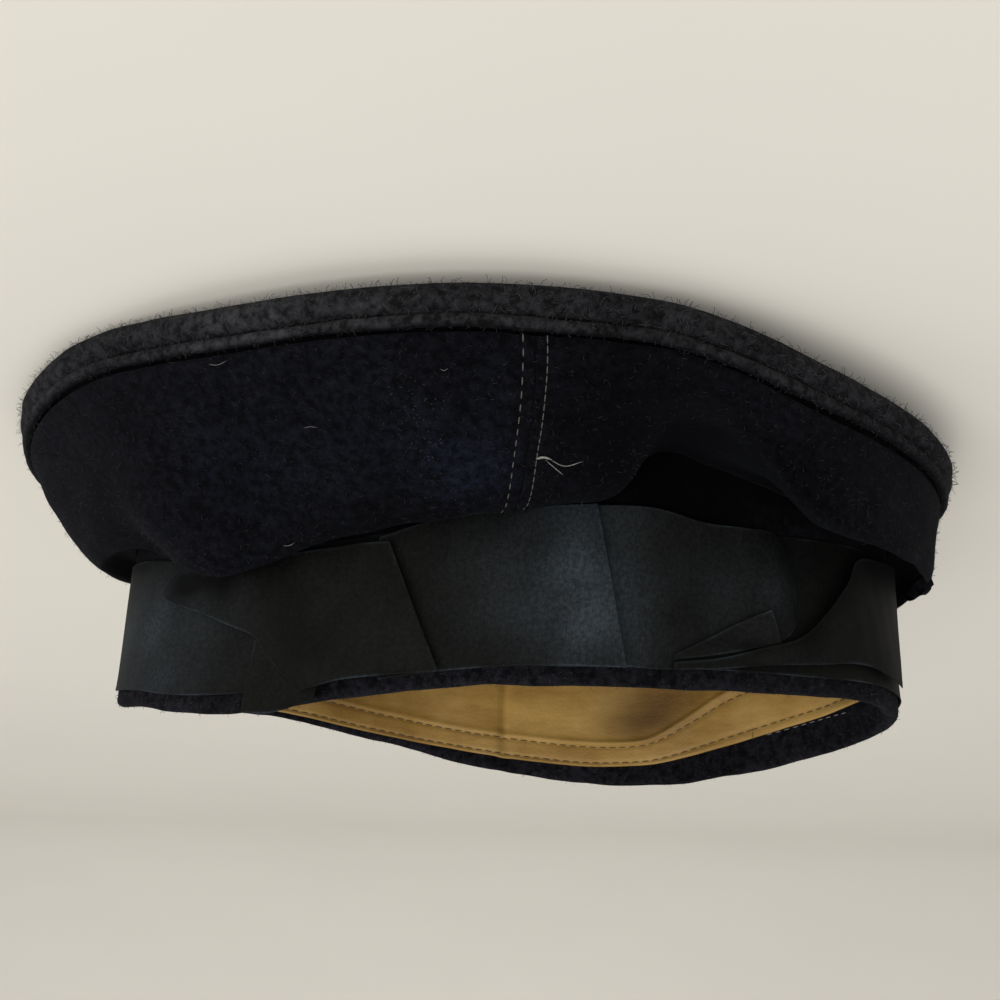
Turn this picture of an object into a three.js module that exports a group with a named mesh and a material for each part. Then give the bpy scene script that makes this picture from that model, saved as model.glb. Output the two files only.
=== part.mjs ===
// A sailor's flat cap lying on its crown, head opening up. Millimetres, +Z up.
// +X is the wearer's front, -Y the wearer's left side, where the flat bow sits.
import * as THREE from 'three';
import { mergeVertices } from 'three/addons/utils/BufferGeometryUtils.js';

// ---- Driving dimensions
const CROWN = { halfLength: 142, halfWidth: 129 };
const BAND = { halfLength: 112.5, halfWidth: 62.5, centreX: -6, centreY: -4.5 };
const WOOL = 2.2;                 // melton cloth wall
const RIBBON = { wall: 0.9, width: 37.5, aboveHem: 4.5 };
const LEATHER = { wall: 1.3, width: 36 };
const GAP = 0.35;                 // between neighbouring pieces
const ROLL_RADIUS = 3.9;          // crown cloth turned over its edge
const WELT = { radius: 1.55, inset: 3.0, height: 9.7 };
const UNDER_CROWN_START = { inset: 3.8, height: 12.6 };
const RIM_HEIGHT = 83.3;          // hem fold above the floor
const BAND_HEIGHT = 43.3;         // hem fold down to the ribbon's hidden edge
const HEM = { depth: 13, thickness: 4.0, fold: 1.8 };
const SEAM_ALLOWANCE = 6;         // band cloth below the under-crown seam
const CREASE_OUT = 0.5;           // under-crown's sewn edge, off the band
const POCKET_OUT = 6.4;           // room for the bow between the band and the soft fold
const LIFT_REACH = { inner: 30, outer: 4 };   // where the crown's edge lifts off the floor
const FRONT_SEAM = { atWelt: 262, atBand: 267 };
const REAR_SEAM = 90;
const SEAM_HALF_GAP = 0.1;        // degrees
const SWEATBAND_JOIN = 136;
const SWEATBAND_HALF_GAP = 0.12;  // degrees
const RING_STEPS = 64;
const ARC_SAMPLES = 720;

// ---- A table's rows, each with its columns named
function named(columns, rows) {
  return rows.map((row) => Object.fromEntries(columns.map((column, i) => [column, row[i]])));
}

// ---- One row for each section round the cap, mm. Angle 270 is the wearer's left side.
// crownOut, crownLift: crown edge out of its oval and off the floor. bandOut, rimUp: the same for the band.
// foldOut, foldUp: crest of the under-crown's soft fold, out from the band and above the ribbon's edge.
// creaseUp: crease where under-crown meets band. leatherIn: sweatband's edge below the hem fold.
const SECTION_COLUMNS = ['angle', 'crownOut', 'crownLift', 'bandOut', 'rimUp',
  'foldOut', 'foldUp', 'creaseUp', 'leatherIn'];
const SECTIONS = named(SECTION_COLUMNS, [
  [0, 0.6, 1.8, 0.1, -1.8, 11, 2, -3, 3],
  [22.5, 0.4, 2.6, -0.7, -4.4, 10, 2, -3, 2.5],
  [45, 0.2, 3, -1.6, -6.1, 10, 2, -3, 2.5],
  [67.5, 0.1, 3.1, -1.3, -2.8, 10, 2, -3, 2.5],
  [90, 0.1, 3.1, 0.2, 5, 10, 2, -3, 4.5],
  [112.5, 0.1, 3.1, 1.1, 8.6, 10, 1, -3, 6],
  [135, -0.1, 3.3, 0.6, 5.2, 10, 2, -3, 10],
  [157.5, -0.6, 4.3, 0.4, 0.6, 10, 3, -3, 11],
  [180, -1.5, 6.2, 1.4, -2.3, 9, 4, -4, 9],
  [202.5, -3.4, 8.8, 2.7, -3.2, 13, 8, -7, 6],
  [215, -4.1, 9.6, 2.9, -2.6, 20, 10, -8, 5],
  [225, -4.2, 9.6, 2.9, -1.4, 24, 8.5, -9, 4],
  [232, -3.6, 8.7, 2.9, -0.8, 24, 4, -12, 3.5],
  [240, -2.2, 6.8, 2.8, -0.1, 24, -8, -15, 3.5],
  [248, -1, 5.3, 2.7, 0.5, 22, -14.5, -17, 3.5],
  [254, -0.8, 5, 2.2, 0.7, 13, -2, -7, 3.5],
  [260, -0.7, 4.9, 1.4, 0.9, 11, 1, -5, 3.5],
  [270, -0.7, 4.9, 0.1, 1.1, 11, 3, -4.5, 3.5],
  [292.5, -2, 4.9, -2.4, 4.2, 12, 6.5, -3, 3.5],
  [303, -1.2, 3.4, -2.5, 4.7, 12, 11.5, -3, 3.5],
  [311, -0.2, 1.9, -2.2, 4.5, 12, 11, -3, 3],
  [321, 0.5, 1.3, -1.6, 3.6, 11, 4.5, -3, 3],
  [332, 0.8, 1.2, -0.6, 1.8, 10, 1, -4, 3],
  [346, 0.8, 1.4, 0, -0.2, 10, 1.5, -3.5, 3],
]);

// ---- Flat bow, one row for each rib: along = mm round the band from the middle of the wearer's left side,
// towards the front; height = mm above the floor; out = mm off the band; belly = rise between the two edges.
const BOW_COLUMNS = ['topAlong', 'topHeight', 'footAlong', 'footHeight', 'topOut', 'footOut', 'belly'];
const BOW = {
  bow_centre: named(BOW_COLUMNS, [
    [28, 46.5, 26, 84, 3.9, 3.9, 0],
    [12, 42, 9, 82, 3.9, 3.9, 0],
    [-8, 39.5, -13, 80.5, 4, 4.2, 0.6],
    [-27.4, 38, -34.6, 80.5, 4.2, 4.8, 0.6],
  ]),
  bow_left_loop: named(BOW_COLUMNS, [
    [25.6, 48.5, 11.7, 82.5, 5.9, 6.0, 0.2],
    [33, 48.5, 27, 85.5, 5.8, 5.9, 0.4],
    [42, 49.5, 40.2, 88, 4.8, 4.8, 0.8],
    [52, 50, 52.4, 81.8, 4.4, 4.5, 1.2],
    [61, 50, 60.5, 73, 4.3, 4.4, 2.0],
    [72, 50, 71.5, 66.5, 3.2, 3.4, 3.2],
    [83, 49.5, 82.5, 62, 2.9, 3.0, 4.0],
    [93, 49.5, 96.5, 55.5, 2.9, 2.9, 3.4],
  ]),
  bow_tail: named(BOW_COLUMNS, [
    [61.5, 71, 64.4, 90.5, 2.4, 2.5, 0],
    [52, 73, 57, 91, 2.4, 2.5, 0],
    [41, 79, 43.6, 88.3, 2.4, 2.4, 0],
  ]),
  bow_right_leaf: named(BOW_COLUMNS, [
    [-24, 38, -26, 79, 2.6, 2.6, 0],
    [-41.3, 37.7, -45.9, 79.8, 2.6, 2.6, 0],
    [-56, 40.5, -60, 76, 2.6, 2.6, 0.3],
    [-67, 40.5, -72, 71.5, 2.7, 2.6, 0.9],
    [-74.2, 41, -79, 67, 2.9, 2.7, 1.4],
    [-79.6, 49, -80.2, 62, 2.9, 2.7, 1.0],
  ]),
  bow_right_fold: named(BOW_COLUMNS, [
    [-49, 74.5, -49.5, 76.2, 4.2, 4.2, 0],
    [-57.2, 68.7, -58, 74.6, 4.3, 4.3, 0.4],
    [-70.5, 62.8, -69, 70.4, 4.8, 4.6, 0.6],
    [-77.5, 65, -77.5, 67.2, 4.8, 4.6, 0.2],
  ]),
  bow_right_loop: named(BOW_COLUMNS, [
    [-46, 78.2, -46, 80.2, 4.2, 4.2, 0],
    [-58, 76.2, -58, 79, 4.2, 4.2, 0],
    [-70.6, 72, -70, 77, 4.3, 4.2, 0.3],
    [-80, 68.6, -82, 75.3, 4.8, 3.8, 0.6],
    [-88, 60.5, -90, 74, 6.0, 3.4, 1.0],
    [-94.5, 52, -98, 72.5, 6.6, 3.0, 1.2],
    [-98.5, 45, -106, 72, 6.4, 2.8, 1.2],
    [-110, 42, -115, 73, 4.4, 2.7, 0.6],
    [-124, 40, -125, 74, 2.7, 2.6, 0],
  ]),
};
const BOW_STEP = 6;               // mm of bow along the band for each mesh column

// ---- Materials
const woolMaterial = new THREE.MeshStandardMaterial({ color: 0x15161c, roughness: 0.95, metalness: 0 });
const ribbonMaterial = new THREE.MeshStandardMaterial({ color: 0x26282a, roughness: 0.6, metalness: 0 });
const leatherMaterial = new THREE.MeshStandardMaterial({ color: 0xa5834d, roughness: 0.7, metalness: 0 });

// ---- Section table, read smoothly at any angle
function sectionRow(index) {
  const count = SECTIONS.length;
  const turns = Math.floor(index / count);
  const row = SECTIONS[index - turns * count];
  return { ...row, angle: row.angle + 360 * turns };
}

function sectionValue(column, angle) {
  const wrapped = THREE.MathUtils.euclideanModulo(angle, 360);
  const after = SECTIONS.findIndex((row) => row.angle > wrapped);
  const next = after < 0 ? SECTIONS.length : after;
  const [a, b, c, d] = [next - 2, next - 1, next, next + 1].map(sectionRow);
  const span = c.angle - b.angle;
  const share = (wrapped - b.angle) / span;
  const slopeB = span * (c[column] - a[column]) / (c.angle - a.angle);
  const slopeC = span * (d[column] - b[column]) / (d.angle - b.angle);
  const share2 = share * share;
  const share3 = share2 * share;
  return (2 * share3 - 3 * share2 + 1) * b[column] + (share3 - 2 * share2 + share) * slopeB
    + (3 * share2 - 2 * share3) * c[column] + (share3 - share2) * slopeC;
}

// ---- Crown oval: a point a given distance in from its edge
function crownPoint(angle, inset, height) {
  const turn = THREE.MathUtils.degToRad(angle);
  const reach = sectionValue('crownOut', angle) - inset;
  const lift = sectionValue('crownLift', angle)
    * (1 - THREE.MathUtils.smoothstep(inset, LIFT_REACH.outer, LIFT_REACH.inner));
  return new THREE.Vector3(
    (CROWN.halfLength + reach) * Math.cos(turn),
    (CROWN.halfWidth + reach) * Math.sin(turn),
    height + lift);
}

// ---- Band oval: a point a given distance out from its wool
function bandEdge(angle) {
  const turn = THREE.MathUtils.degToRad(angle);
  const out = sectionValue('bandOut', angle);
  return new THREE.Vector2(
    BAND.centreX + (BAND.halfLength + out) * Math.cos(turn),
    BAND.centreY + (BAND.halfWidth + out) * Math.sin(turn));
}

function bandPoint(angle, out, height) {
  const step = 0.5;
  const along = bandEdge(angle + step).sub(bandEdge(angle - step)).normalize();
  const edge = bandEdge(angle);
  return new THREE.Vector3(edge.x + along.y * out, edge.y - along.x * out, height);
}

const rimHeight = (angle) => RIM_HEIGHT + sectionValue('rimUp', angle);
const ribbonLine = (angle) => rimHeight(angle) - BAND_HEIGHT;

// ---- Distance round the band from the middle of the wearer's left side
const arcTable = [];
{
  let length = 0;
  let before = bandEdge(90);
  for (let i = 0; i <= ARC_SAMPLES; i += 1) {
    const angle = 90 + 360 * i / ARC_SAMPLES;
    const point = bandEdge(angle);
    length += point.distanceTo(before);
    before = point;
    arcTable.push({ angle, length });
  }
  const middle = arcTable[ARC_SAMPLES / 2].length;
  for (const entry of arcTable) entry.length -= middle;
}

function angleAlong(along) {
  const next = arcTable.findIndex((entry) => entry.length >= along);
  const b = arcTable[next];
  const a = arcTable[next - 1];
  return a.angle + (b.angle - a.angle) * (along - a.length) / (b.length - a.length);
}

// ---- Closed solids from grids
function solidFrom(points, triangles) {
  const geometry = new THREE.BufferGeometry();
  const values = points.flatMap((p) => [p.x, p.y, p.z]);
  geometry.setAttribute('position', new THREE.Float32BufferAttribute(values, 3));
  geometry.setIndex(triangles.flat());
  const merged = mergeVertices(geometry, 1e-4);
  const index = merged.getIndex().array;
  const kept = [];
  for (let i = 0; i < index.length; i += 3) {
    const [a, b, c] = [index[i], index[i + 1], index[i + 2]];
    if (a !== b && b !== c && c !== a) kept.push(a, b, c);
  }
  merged.setIndex(kept);
  merged.computeVertexNormals();
  return merged;
}

function signedVolume(points, triangles) {
  return triangles.reduce((sum, [a, b, c]) => sum + points[a].dot(points[b].clone().cross(points[c])), 0) / 6;
}

function outwardSolid(points, triangles) {
  const turned = signedVolume(points, triangles) < 0 ? triangles.map(([a, b, c]) => [a, c, b]) : triangles;
  return solidFrom(points, turned);
}

// A ring: a closed profile, the same number of points at each angle, swept right round.
function ringSolid(profileAt) {
  const profiles = [];
  for (let i = 0; i < RING_STEPS; i += 1) profiles.push(profileAt(360 * i / RING_STEPS));
  const sides = profiles[0].length;
  const triangles = [];
  for (let i = 0; i < RING_STEPS; i += 1) {
    const j = (i + 1) % RING_STEPS;
    for (let k = 0; k < sides; k += 1) {
      const l = (k + 1) % sides;
      const [a, b, c, d] = [i * sides + k, j * sides + k, j * sides + l, i * sides + l];
      triangles.push([a, b, c], [a, c, d]);
    }
  }
  return outwardSolid(profiles.flat(), triangles);
}

// A sheet: its outer face at(u, v) and a wall under it, on the side that inward points to.
function sheetSolid(at, columns, rows, wall, pole = false) {
  const step = 1e-3;
  const outer = [];
  const inner = [];
  for (let i = 0; i <= columns; i += 1) {
    for (let j = 0; j <= rows; j += 1) {
      const u = i / columns;
      const v = j / rows;
      const alongU = at(Math.min(u + step, 1), v).sub(at(Math.max(u - step, 0), v));
      const alongV = at(u, Math.min(v + step, 1)).sub(at(u, Math.max(v - step, 0)));
      const normal = alongU.cross(alongV).normalize();
      const point = at(u, v);
      outer.push(point);
      inner.push(point.clone().addScaledVector(normal, wall));
    }
  }
  const count = outer.length;
  const id = (i, j) => i * (rows + 1) + j;
  const triangles = [];
  for (let i = 0; i < columns; i += 1) {
    for (let j = 0; j < rows; j += 1) {
      const [a, b, c, d] = [id(i, j), id(i + 1, j), id(i + 1, j + 1), id(i, j + 1)];
      triangles.push([a, b, c], [a, c, d]);
      triangles.push([count + a, count + c, count + b], [count + a, count + d, count + c]);
    }
  }
  const bridge = (a, b) => triangles.push([b, a, count + a], [b, count + a, count + b]);
  for (let i = 0; i < columns; i += 1) {
    if (!pole) bridge(id(i, 0), id(i + 1, 0));
    bridge(id(i + 1, rows), id(i, rows));
  }
  for (let j = 0; j < rows; j += 1) {
    bridge(id(0, j + 1), id(0, j));
    bridge(id(columns, j), id(columns, j + 1));
  }
  return outwardSolid([...outer, ...inner], triangles);
}

// ---- Crown top: a flat disc of cloth whose edge rolls up to the welt
function crownTopProfile() {
  const centre = ROLL_RADIUS;
  const profile = [{ inset: 60, height: 0 }, { inset: 30, height: 0 }, { inset: 15, height: 0 }];
  for (const turn of [-90, -45, 0, 45, 90]) {
    const bend = THREE.MathUtils.degToRad(turn);
    profile.push({
      inset: centre - ROLL_RADIUS * Math.cos(bend),
      height: centre + ROLL_RADIUS * Math.sin(bend),
    });
  }
  return profile;
}

function crownTopSolid() {
  const outerRows = crownTopProfile();
  const innerRows = outerRows.map(({ inset, height }) => {
    if (inset > ROLL_RADIUS) return { inset, height: height + WOOL };
    const share = 1 - WOOL / ROLL_RADIUS;
    return {
      inset: ROLL_RADIUS - (ROLL_RADIUS - inset) * share,
      height: ROLL_RADIUS + (height - ROLL_RADIUS) * share,
    };
  });
  const points = [new THREE.Vector3(0, 0, 0), new THREE.Vector3(0, 0, WOOL)];
  const loop = [...outerRows, ...innerRows.reverse()];
  for (let i = 0; i < RING_STEPS; i += 1) {
    for (const row of loop) points.push(crownPoint(360 * i / RING_STEPS, row.inset, row.height));
  }
  const sides = loop.length;
  const id = (i, k) => 2 + (i % RING_STEPS) * sides + k;
  const triangles = [];
  for (let i = 0; i < RING_STEPS; i += 1) {
    triangles.push([0, id(i + 1, 0), id(i, 0)], [1, id(i, sides - 1), id(i + 1, sides - 1)]);
    for (let k = 0; k < sides - 1; k += 1) {
      triangles.push([id(i, k), id(i + 1, k), id(i + 1, k + 1)], [id(i, k), id(i + 1, k + 1), id(i, k + 1)]);
    }
  }
  return outwardSolid(points, triangles);
}

// ---- Welt: a covered cord in the seam between crown top and under-crown
function weltSolid() {
  const sides = 6;
  return ringSolid((angle) => Array.from({ length: sides }, (_, k) => {
    const turn = 2 * Math.PI * k / sides;
    const inset = WELT.inset + WELT.radius * Math.cos(turn);
    return crownPoint(angle, inset, WELT.height + WELT.radius * Math.sin(turn));
  }));
}

// ---- Under-crown: from the welt in to the band, over its soft fold and into the crease
function underCrownLine(angle) {
  const line = ribbonLine(angle);
  const start = crownPoint(angle, UNDER_CROWN_START.inset, UNDER_CROWN_START.height);
  const crest = bandPoint(angle, sectionValue('foldOut', angle), line + sectionValue('foldUp', angle));
  const creaseHeight = line + sectionValue('creaseUp', angle);
  const pocket = bandPoint(angle, POCKET_OUT, creaseHeight);
  const crease = bandPoint(angle, CREASE_OUT, creaseHeight);
  const belly = start.clone().lerp(crest, 0.5);
  belly.z += 0.06 * start.distanceTo(crest);
  return new THREE.CatmullRomCurve3([start, belly, crest, pocket, crease]);
}

function underCrownSolid(fromSeam, toSeam) {
  const rows = 8;
  const at = (u, v) => {
    const from = fromSeam(v) + SEAM_HALF_GAP;
    const to = toSeam(v) - SEAM_HALF_GAP;
    return underCrownLine(THREE.MathUtils.lerp(from, to, u)).getPoint(v);
  };
  return sheetSolid(at, RING_STEPS / 2, rows, -WOOL);
}

const frontSeam = (v) => THREE.MathUtils.lerp(FRONT_SEAM.atWelt, FRONT_SEAM.atBand, v);

// ---- Head band: one wall of cloth, folded in at the rim into a thicker hem
function headBandSolid() {
  return ringSolid((angle) => {
    const rim = rimHeight(angle);
    const foot = ribbonLine(angle) + sectionValue('creaseUp', angle) - SEAM_ALLOWANCE;
    const at = (out, height) => bandPoint(angle, out, height);
    return [
      at(0, foot), at(0, rim - HEM.fold), at(-0.6, rim - 0.5), at(-HEM.thickness / 2, rim),
      at(0.6 - HEM.thickness, rim - 0.5), at(-HEM.thickness, rim - HEM.fold),
      at(-HEM.thickness, rim - HEM.depth), at(-WOOL, rim - HEM.depth - 1), at(-WOOL, foot),
    ];
  });
}

// ---- Sweatband: a leather strip inside the hem, its two ends butted at one side
function sweatbandSolid() {
  const out = -HEM.thickness - GAP;
  const at = (u, v) => {
    const angle = SWEATBAND_JOIN + SWEATBAND_HALF_GAP + u * (360 - 2 * SWEATBAND_HALF_GAP);
    const top = rimHeight(angle) - sectionValue('leatherIn', angle);
    return bandPoint(angle, out - LEATHER.wall, top - v * LEATHER.width);
  };
  return sheetSolid(at, RING_STEPS, 2, LEATHER.wall);
}

// ---- Ribbon: a full turn round the band, under the bow
function tallyRibbonSolid() {
  return ringSolid((angle) => {
    const foot = rimHeight(angle) - RIBBON.aboveHem;
    const top = foot - RIBBON.width;
    return [
      bandPoint(angle, GAP + RIBBON.wall, top), bandPoint(angle, GAP + RIBBON.wall, foot),
      bandPoint(angle, GAP, foot), bandPoint(angle, GAP, top),
    ];
  });
}

// ---- Bow: each piece is ruled between its top edge and its foot edge
function bowSolid(ribs) {
  const curve = (point) => new THREE.CatmullRomCurve3(ribs.map(point));
  const top = curve((rib) => new THREE.Vector3(rib.topAlong, rib.topHeight, rib.topOut));
  const foot = curve((rib) => new THREE.Vector3(rib.footAlong, rib.footHeight, rib.footOut));
  const belly = curve((rib, i) => new THREE.Vector3(i, rib.belly, 0));
  const at = (u, v) => {
    const place = top.getPoint(u).lerp(foot.getPoint(u), v);
    place.z += belly.getPoint(u).y * Math.sin(Math.PI * v);
    return bandPoint(angleAlong(place.x), place.z, place.y);
  };
  const span = Math.abs(ribs[0].topAlong - ribs[ribs.length - 1].topAlong);
  return sheetSolid(at, Math.ceil(span / BOW_STEP), 4, -RIBBON.wall);
}

// ---- Assembly
const cap = new THREE.Group();
const pieces = [
  ['crown_top', crownTopSolid(), woolMaterial],
  ['crown_welt', weltSolid(), woolMaterial],
  ['under_crown_front', underCrownSolid((v) => frontSeam(v), () => REAR_SEAM + 360), woolMaterial],
  ['under_crown_back', underCrownSolid(() => REAR_SEAM, (v) => frontSeam(v)), woolMaterial],
  ['head_band', headBandSolid(), woolMaterial],
  ['sweatband', sweatbandSolid(), leatherMaterial],
  ['tally_ribbon', tallyRibbonSolid(), ribbonMaterial],
  ...Object.entries(BOW).map(([name, ribs]) => [name, bowSolid(ribs), ribbonMaterial]),
];
const box = new THREE.Box3();
for (const [, geometry] of pieces) {
  geometry.computeBoundingBox();
  box.union(geometry.boundingBox);
}
for (const [name, geometry, material] of pieces) {
  const mesh = new THREE.Mesh(geometry, material);
  mesh.name = name;
  mesh.position.set(-(box.min.x + box.max.x) / 2, -(box.min.y + box.max.y) / 2, -box.min.z);
  cap.add(mesh);
}

export default cap;
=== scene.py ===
# %% [markdown]
# # A sailor's flat cap, lying on its crown
# The cap is navy melton wool: a flat crown disc, a covered welt cord round its edge, an under-crown
# in two panels, and an upright head band. A silk ribbon goes once round the band and ends in a flat
# bow on the wearer's left. Inside the rim is a tan leather sweatband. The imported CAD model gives
# the real size and place of every piece, so it is loaded first and nothing is fitted to it later.

# %% Load the fixed frame
import math

import bmesh
import bpy
import numpy as np
from mathutils import Matrix, Vector


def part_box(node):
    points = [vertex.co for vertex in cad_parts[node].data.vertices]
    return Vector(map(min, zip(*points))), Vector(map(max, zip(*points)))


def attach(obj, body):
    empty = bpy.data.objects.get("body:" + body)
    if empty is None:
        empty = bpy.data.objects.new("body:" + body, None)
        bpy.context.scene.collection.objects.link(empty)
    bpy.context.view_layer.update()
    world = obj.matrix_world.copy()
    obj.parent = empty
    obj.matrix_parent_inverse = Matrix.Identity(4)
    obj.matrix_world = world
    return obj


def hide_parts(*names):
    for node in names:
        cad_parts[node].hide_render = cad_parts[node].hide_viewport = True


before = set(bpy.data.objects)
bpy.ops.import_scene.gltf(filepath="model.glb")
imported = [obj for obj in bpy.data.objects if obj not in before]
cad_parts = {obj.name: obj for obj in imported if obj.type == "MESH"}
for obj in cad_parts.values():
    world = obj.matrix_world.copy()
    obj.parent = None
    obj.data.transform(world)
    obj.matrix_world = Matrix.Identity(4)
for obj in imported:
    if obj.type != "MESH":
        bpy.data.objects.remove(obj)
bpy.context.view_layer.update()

MM = 0.001

# %% [markdown]
# ## The cap's measurements
# A soft cap has no straight lines, so its form is kept in one table: each row is a section
# at one angle round the cap, and every surface reads the same rows. Angle 0 is the wearer's
# front and 270 the wearer's left. Smooth curves between rows could be typed as many points,
# but a cubic through a few rows bends as one piece of cloth does.

# %% Sizes in millimetres, and the section table
CROWN_HALF_LENGTH, CROWN_HALF_WIDTH = 142.0, 129.0
BAND_HALF_LENGTH, BAND_HALF_WIDTH = 112.5, 62.5
BAND_CENTRE = (-6.0, -4.5)
WOOL = 2.0
RIBBON_WALL = 0.4
LEATHER_WALL = 1.2
ROLL_RADIUS = 3.9
WELT_RADIUS, WELT_INSET, WELT_HEIGHT = 1.55, 3.0, 9.7
UNDER_START_INSET, UNDER_START_HEIGHT = 3.8, 12.6
RIM_HEIGHT, BAND_HEIGHT = 83.3, 43.3
HEM_DEPTH, HEM_THICKNESS, HEM_FOLD = 13.0, 4.0, 1.8
SEAM_ALLOWANCE = 6.0
CREASE_OUT, POCKET_OUT = 0.5, 6.4
LIFT_INNER, LIFT_OUTER = 30.0, 4.0
FRONT_SEAM_AT_WELT, FRONT_SEAM_AT_BAND, REAR_SEAM = 262.0, 267.0, 90.0
RIBBON_WIDTH, RIBBON_ABOVE_HEM = 37.5, 4.5
LEATHER_WIDTH, SWEATBAND_JOIN = 36.0, 136.0
GAP = 0.35

COLUMNS = ("angle", "crown_out", "crown_lift", "band_out", "rim_up",
           "fold_out", "fold_up", "crease_up", "leather_in")
SECTIONS = np.array([
    (0.0, 0.6, 1.8, 0.1, -3.4, 11, 2, -3, 2),
    (22.5, 0.4, 2.6, -0.7, -6.8, 10, 2, -3, 1.5),
    (45.0, 0.2, 3.0, -1.6, -8.8, 10, 2, -3, 1.2),
    (67.5, 0.1, 3.1, -1.3, -3.2, 10, 2, -3, 2.2),
    (90.0, 0.1, 3.1, 0.2, 5.0, 10, 2, -3, 4.5),
    (112.5, 0.1, 3.1, 1.1, 8.6, 10, 1, -3, 6),
    (135.0, -0.1, 3.3, 0.6, 5.2, 10, 2, -3, 10),
    (157.5, -0.6, 4.3, 0.4, 0.6, 10, 3, -3, 11),
    (180.0, -1.5, 6.2, 1.4, -2.3, 9, 4, -4, 9),
    (202.5, -3.4, 8.8, 2.7, -3.2, 13, 8, -7, 6),
    (215.0, -4.1, 9.6, 2.9, -2.6, 20, 10, -8, 5),
    (225.0, -4.2, 9.6, 2.9, -1.4, 24, 8.5, -9, 4),
    (232.0, -3.6, 8.7, 2.9, -0.8, 24, 4, -12, 3.5),
    (240.0, -2.2, 6.8, 2.8, -0.1, 25, -10.5, -16, 3.5),
    (248.0, -1.0, 5.3, 2.7, 0.5, 23, -18, -19, 3.5),
    (254.0, -0.8, 5.0, 2.2, 0.7, 13, -2, -7, 3.5),
    (260.0, -0.7, 4.9, 1.4, 0.9, 11, 1, -5, 3.5),
    (270.0, -0.7, 4.9, 0.1, 1.1, 11, 3, -4.5, 3.5),
    (292.5, -2.0, 4.9, -2.4, 4.6, 12, 6.1, -3.4, 3.5),
    (303.0, -1.2, 3.4, -2.5, 6.4, 12, 9.8, -4.7, 3.5),
    (311.0, -0.2, 1.9, -2.2, 6.5, 12, 9, -5, 3),
    (321.0, 0.5, 1.3, -1.6, 5.2, 11, 2.9, -4.6, 3),
    (332.0, 0.8, 1.2, -0.6, 2.3, 10, 0.5, -4.5, 3),
    (346.0, 0.8, 1.4, 0.0, -0.2, 10, 1.5, -3.5, 3),
])


def section(column, angle):
    """The table's column at any angle, in degrees, by a cubic through its rows."""
    rows = len(SECTIONS)
    angles = SECTIONS[:, 0]
    values = SECTIONS[:, COLUMNS.index(column)]
    wrapped = np.mod(np.asarray(angle, float), 360.0)
    after = np.searchsorted(angles, wrapped, side="right")

    def row(offset):
        index = after + offset
        turns = np.floor_divide(index, rows)
        index = index - turns * rows
        return angles[index] + 360.0 * turns, values[index]

    (angle_a, a), (angle_b, b), (angle_c, c), (angle_d, d) = (row(k) for k in (-2, -1, 0, 1))
    span = angle_c - angle_b
    share = (wrapped - angle_b) / span
    slope_b = span * (c - a) / (angle_c - angle_a)
    slope_c = span * (d - b) / (angle_d - angle_b)
    share2, share3 = share ** 2, share ** 3
    return ((2 * share3 - 3 * share2 + 1) * b + (share3 - 2 * share2 + share) * slope_b
            + (3 * share2 - 2 * share3) * c + (share3 - share2) * slope_c)


def smooth_step(value, low, high):
    share = np.clip((value - low) / (high - low), 0.0, 1.0)
    return share * share * (3 - 2 * share)


def crown_point(angle, inset, height):
    """A point a given distance in from the crown's edge, and above the floor."""
    turn = np.radians(angle)
    reach = section("crown_out", angle) - inset
    lift = section("crown_lift", angle) * (1 - smooth_step(inset, LIFT_OUTER, LIFT_INNER))
    return np.stack(np.broadcast_arrays(
        (CROWN_HALF_LENGTH + reach) * np.cos(turn),
        (CROWN_HALF_WIDTH + reach) * np.sin(turn),
        height + lift), -1)


def band_edge(angle):
    turn = np.radians(angle)
    out = section("band_out", angle)
    return np.stack((BAND_CENTRE[0] + (BAND_HALF_LENGTH + out) * np.cos(turn),
                     BAND_CENTRE[1] + (BAND_HALF_WIDTH + out) * np.sin(turn)), -1)


def band_point(angle, out, height):
    """A point a given distance out from the band's wool, and above the floor."""
    step = 0.5
    along = band_edge(angle + step) - band_edge(angle - step)
    along = along / np.linalg.norm(along, axis=-1, keepdims=True)
    edge = band_edge(angle)
    return np.stack(np.broadcast_arrays(
        edge[..., 0] + along[..., 1] * out, edge[..., 1] - along[..., 0] * out, height), -1)


def rim_height(angle):
    return RIM_HEIGHT + section("rim_up", angle)


def ribbon_line(angle):
    return rim_height(angle) - BAND_HEIGHT


ARC_ANGLES = np.linspace(90.0, 450.0, 1441)
_edges = band_edge(ARC_ANGLES)
ARC_LENGTHS = np.concatenate(([0.0], np.cumsum(np.linalg.norm(np.diff(_edges, axis=0), axis=1))))
ARC_LENGTHS = ARC_LENGTHS - ARC_LENGTHS[len(ARC_LENGTHS) // 2]


def angle_along(along):
    """The angle at a distance round the band from the middle of the wearer's left side."""
    return np.interp(along, ARC_LENGTHS, ARC_ANGLES)


def along_at(angle):
    return np.interp(90.0 + np.mod(np.asarray(angle) - 90.0, 360.0), ARC_ANGLES, ARC_LENGTHS)


band_low, band_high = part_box("head_band")
RING_SAMPLES = np.arange(64) * 360.0 / 64
_outline = band_edge(RING_SAMPLES)
ORIGIN = np.array([
    (band_low.x + band_high.x) / 2 / MM - (_outline[:, 0].min() + _outline[:, 0].max()) / 2,
    (band_low.y + band_high.y) / 2 / MM - (_outline[:, 1].min() + _outline[:, 1].max()) / 2,
    band_high.z / MM - rim_height(RING_SAMPLES).max()])

# %% [markdown]
# ## Making cloth from a grid
# Each piece of cloth is one outer face laid out as a grid of columns and rows, with a wall under it
# and closed edges, so it is a real sheet with two sides and no hole. A Solidify modifier could give
# the wall; working it out here keeps the cloth's own length and width as a UV map in millimetres,
# which the weave and the stitches follow.

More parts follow.
